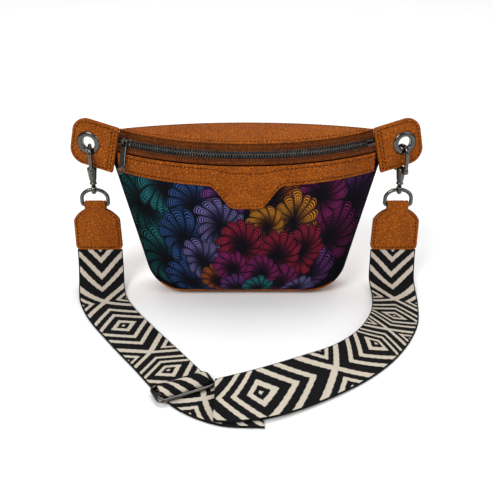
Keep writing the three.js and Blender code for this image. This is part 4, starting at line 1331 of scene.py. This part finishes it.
def through(points, share):
    """The point at share (0 to 1) of a centripetal Catmull-Rom curve through the points."""
    first_extra = 2 * points[0] - points[1]
    last_extra = 2 * points[-1] - points[-2]
    extended = [first_extra, *points, last_extra]
    position = share * (len(points) - 1)
    k = min(int(position), len(points) - 2)
    t = position - k
    first, second, third, fourth = extended[k:k + 4]
    a = np.linalg.norm(second - first) ** 0.5
    b = np.linalg.norm(third - second) ** 0.5
    c = np.linalg.norm(fourth - third) ** 0.5
    start = ((second - first) / a - (third - first) / (a + b) + (third - second) / b) * b
    end = ((third - second) / b - (fourth - second) / (b + c) + (fourth - third) / c) * b
    cube = 2 * second - 2 * third + start + end
    square = -3 * second + 3 * third - 2 * start - end
    return second + start * t + square * t * t + cube * t ** 3


STRAP_START = STRAP_BOTTOM - 0.5
# Each station is the webbing's middle as seen from above, the heading and tilt of its width in
# degrees, and the height of its lower edge.
LEFT_STATIONS = [
    (-HANG_X, HANG_Y, 0, 0, STRAP_START),
    (-HANG_X, HANG_Y - 2, 2, 0, 25),
    (-162, -1, 6, 0, 10.5),
    (-160, -14, 11, 0, 3.6),
    (-156, -30, 17, 0, ON_FLOOR),
    (-143, -58, 30, 0, ON_FLOOR),
    (-116, -99, 36, 0, ON_FLOOR),
    (-86, -141, 36, 0, ON_FLOOR),
    (-62, -175, 38, 0, ON_FLOOR),
    (-44, -196, 55, 0, ON_FLOOR),
    (-18, -211, 78, 0, ON_FLOOR),
    (12, -214, 98, 0, ON_FLOOR),
]
RIGHT_STATIONS = [
    (HANG_X, HANG_Y, 180, 0, STRAP_START),
    (HANG_X, HANG_Y - 2, 178, 0, 25),
    (162, -1, 175, 0, 10.5),
    (162, -14, 170, 1, 3.6),
    (161, -31, 163, 2, ON_FLOOR),
    (153, -72, 154, 5, ON_FLOOR),
    (131, -115, 140, 7, ON_FLOOR),
    (101, -150, 131, 12, ON_FLOOR),
    (60, -182, 121, 20, 2.2),
    (18, -205, 108, 21, 3.6),
    (-12, -210, 96, 14, 3.8),
    (-28, -209, 90, 8, 3.8),
]


def ribbon_edges(stations, samples):
    """Both edges of a ribbon at evenly shared samples."""
    outer = []
    inner = []
    for x, y, heading, tilt, rise in stations:
        lift = math.sin(math.radians(tilt))
        flat = math.cos(math.radians(tilt))
        turned = math.radians(heading)
        cross = np.array([flat * math.cos(turned), flat * math.sin(turned), lift])
        centre = np.array([x, y, rise + HALF_WEB * lift], dtype=float)
        outer.append(centre - HALF_WEB * cross)
        inner.append(centre + HALF_WEB * cross)
    return [np.array([through(edge, s) for s in samples]) for edge in (outer, inner)]


# The pattern is pulled out unevenly: ground points where the middles of a cross and a diamond lie
# in turn, after the half diamond at the leather end.
LEFT_MARKS = [(-151, -36), (-124, -84), (-96, -132), (-78, -162)]
RIGHT_MARKS = [(166, -34), (152, -68), (139, -94), (122, -117), (73, -153), (9, -195)]


def pattern_along(centre, run, marks):
    """The place in the pattern, in millimetres, at each sample of a ribbon's centre line."""
    half_repeat = HALF_REPEAT / MM
    at = [0.0]
    for mark in marks:
        nearest = int(np.argmin(np.linalg.norm(centre[:, :2] - np.array(mark), axis=1)))
        at.append(run[nearest])
    place = [k * half_repeat for k in range(len(at))]
    place.append(place[-1] + run[-1] - at[-1])
    at.append(run[-1])
    return np.interp(run, at, place)


def unit(vectors):
    return vectors / np.linalg.norm(vectors, axis=1, keepdims=True)


def webbing_section():
    """(across, up) round the webbing: flat, with rounded edges and a slight ridge inside them."""
    near = [0.0, 0.25, 0.8, 1.6]
    across = [step - HALF_WEB for step in near] + list(np.linspace(3 - HALF_WEB, HALF_WEB - 3, 17))
    across += [HALF_WEB - step for step in reversed(near)]
    upper = []
    for t in across:
        inset = HALF_WEB - abs(t)
        ridge = 0.12 * math.exp(-(((inset - 1.2) / 0.7) ** 2))
        upper.append((t, WEB / 2 * math.sqrt(1 - (1 - min(1.0, inset / 0.9)) ** 2) + ridge))
    return upper + [(t, -height) for t, height in reversed(upper[1:-1])]


def add_ribbon(name, stations, marks):
    """Webbing through the stations, from its leather end."""
    samples = np.linspace(0, 1, 260)
    outer, inner = ribbon_edges(stations, samples)
    centre = (outer + inner) / 2
    run = run_over(centre)
    across = unit(inner - outer)
    normal = unit(np.cross(unit(np.gradient(centre, axis=0)), across))
    stretch = np.linalg.norm(inner - outer, axis=1) / (2 * HALF_WEB)
    pattern = pattern_along(centre, run, marks)
    section = webbing_section()
    vertices = []
    uvs = []
    for k in range(len(samples)):
        for t, height in section:
            vertices.append(tuple(centre[k] + across[k] * t * stretch[k] + normal[k] * height))
            uvs.append(((t + HALF_WEB) * MM, pattern[k] * MM))
    faces = ring_faces(len(samples), len(section), closed=False)
    ribbon = new_piece(name + "_webbing_ribbon", vertices, faces, "webbing", "strap", name + "_webbing", uvs)


SLIDER_AT = (-57, -188, 5)
SLIDER_HEADING = 27
SLIDER_LENGTH = 57
SLIDER_WIDTH = 25
SLIDER_WIRE = 1.7


def strap_slider_place():
    return shift_by(*SLIDER_AT) @ rotate(SLIDER_HEADING, "Z")


def add_strap_slider():
    """A wire frame with a middle bar."""
    corner = 5
    end = SLIDER_LENGTH / 2 - SLIDER_WIRE
    x = end - corner
    y = SLIDER_WIDTH / 2 - SLIDER_WIRE - corner
    loop = []
    for (cx, cy), start in (((x, -y), -90), ((x, y), 0), ((-x, y), 90), ((-x, -y), 180)):
        loop += arc_points((cx, cy), corner, start, start + 90, 10)
    rim = tube_part([(a, b, 0) for a, b in loop], SLIDER_WIRE, sides=20, closed=True)
    bar = tube_part([(-end, 0, 0), (end, 0, 0)], SLIDER_WIRE, sides=20)
    add_metal("strap_slider", [rim, bar], strap_slider_place())


def add_webbing_fold():
    """The webbing where it goes over the slider's bar."""
    place = strap_slider_place()
    arch = [np.array((0, y, z)) for y, z in
            ((7.6, -0.6), (7.9, 2.6), (4.4, 5.4), (0, 6.4), (-4.4, 5.2), (-7.6, 2.4), (-7.4, -0.6))]

    def surface(u, v):
        bulge = 0.9 * math.sin(9 * v + 1) * math.sin(math.pi * u)
        point = through(arch, u) + np.array([(v - 0.5) * 46, 0, bulge])
        return np.array(place @ Vector(point))
    add_sheet("webbing_fold_cloth", surface, (26, 46), "webbing", "webbing_fold", "strap_slider",
              lift=-0.7, spacing=1.2)


# ------------------------------------------------------------------ the object

add_front_panel()
add_front_band()
add_back_and_sides()
add_seams()
add_top()
add_linings()
add_zip()
add_zip_slider()
add_pull()
for side, name in SIDES:
    add_tab(side, name)
    add_grommet(side, name)
    add_hook(side, name)
    add_swivel(side, name)
    add_ring(side, name)
    add_strap_end(side, name)
add_ribbon("left", LEFT_STATIONS, LEFT_MARKS)
add_ribbon("right", RIGHT_STATIONS, RIGHT_MARKS)
add_strap_slider()
add_webbing_fold()


# ------------------------------------------------------------------ floor, lights and camera

def add_floor():
    look = Look("floor")
    cloud = look.noise(4, 3)
    colour = look.mix(look.span(cloud, 0.3, 0.7), (0.90, 0.90, 0.90), (0.92, 0.92, 0.92))
    look.finish(Base_Color=colour, Roughness=0.75)
    mesh = bpy.data.meshes.new("floor")
    reach = 6.0
    mesh.from_pydata([(-reach, -reach, 0), (reach, -reach, 0), (reach, reach, 0), (-reach, reach, 0)], [],
                     [(0, 1, 2, 3)])
    mesh.materials.append(look.material)
    floor = bpy.data.objects.new("floor", mesh)
    bpy.context.scene.collection.objects.link(floor)


def add_light(name, place, target, size, power):
    data = bpy.data.lights.new(name, "AREA")
    data.shape = "RECTANGLE"
    data.size, data.size_y = size
    data.energy = power

    light = bpy.data.objects.new(name, data)
    light.location = place
    direction = Vector(target) - Vector(place)
    light.rotation_euler = direction.to_track_quat("-Z", "Y").to_euler()
    bpy.context.scene.collection.objects.link(light)


def add_world():
    world = bpy.data.worlds.new("studio")
    world.use_nodes = True
    background = world.node_tree.nodes["Background"]
    background.inputs[0].default_value = (1.0, 1.0, 1.0, 1.0)
    background.inputs[1].default_value = 0.34
    bpy.context.scene.world = world


def add_camera():
    """27 degrees above level, 0.8 m from a point 50 mm above the base."""
    rise = math.radians(27)
    distance = 0.8
    data = bpy.data.cameras.new("camera")
    data.lens = 53.3
    data.sensor_width = 36
    camera = bpy.data.objects.new("camera", data)
    camera.location = (0, -distance * math.cos(rise), 0.050 + distance * math.sin(rise))
    camera.rotation_euler = (math.pi / 2 - rise, 0, 0)
    bpy.context.scene.collection.objects.link(camera)
    bpy.context.scene.camera = camera


bpy.context.scene.view_settings.view_transform = "Standard"
add_floor()
add_world()
middle = (0, 0, 0.08)
add_light("key", (-1.9, -3.0, 3.1), middle, (2.0, 2.0), 125)
add_light("fill", (3.2, -2.0, 2.2), middle, (2.4, 2.4), 45)
add_light("top", (0.0, 1.6, 4.4), (0, 0.3, 0), (4.5, 3.5), 150)
add_camera()
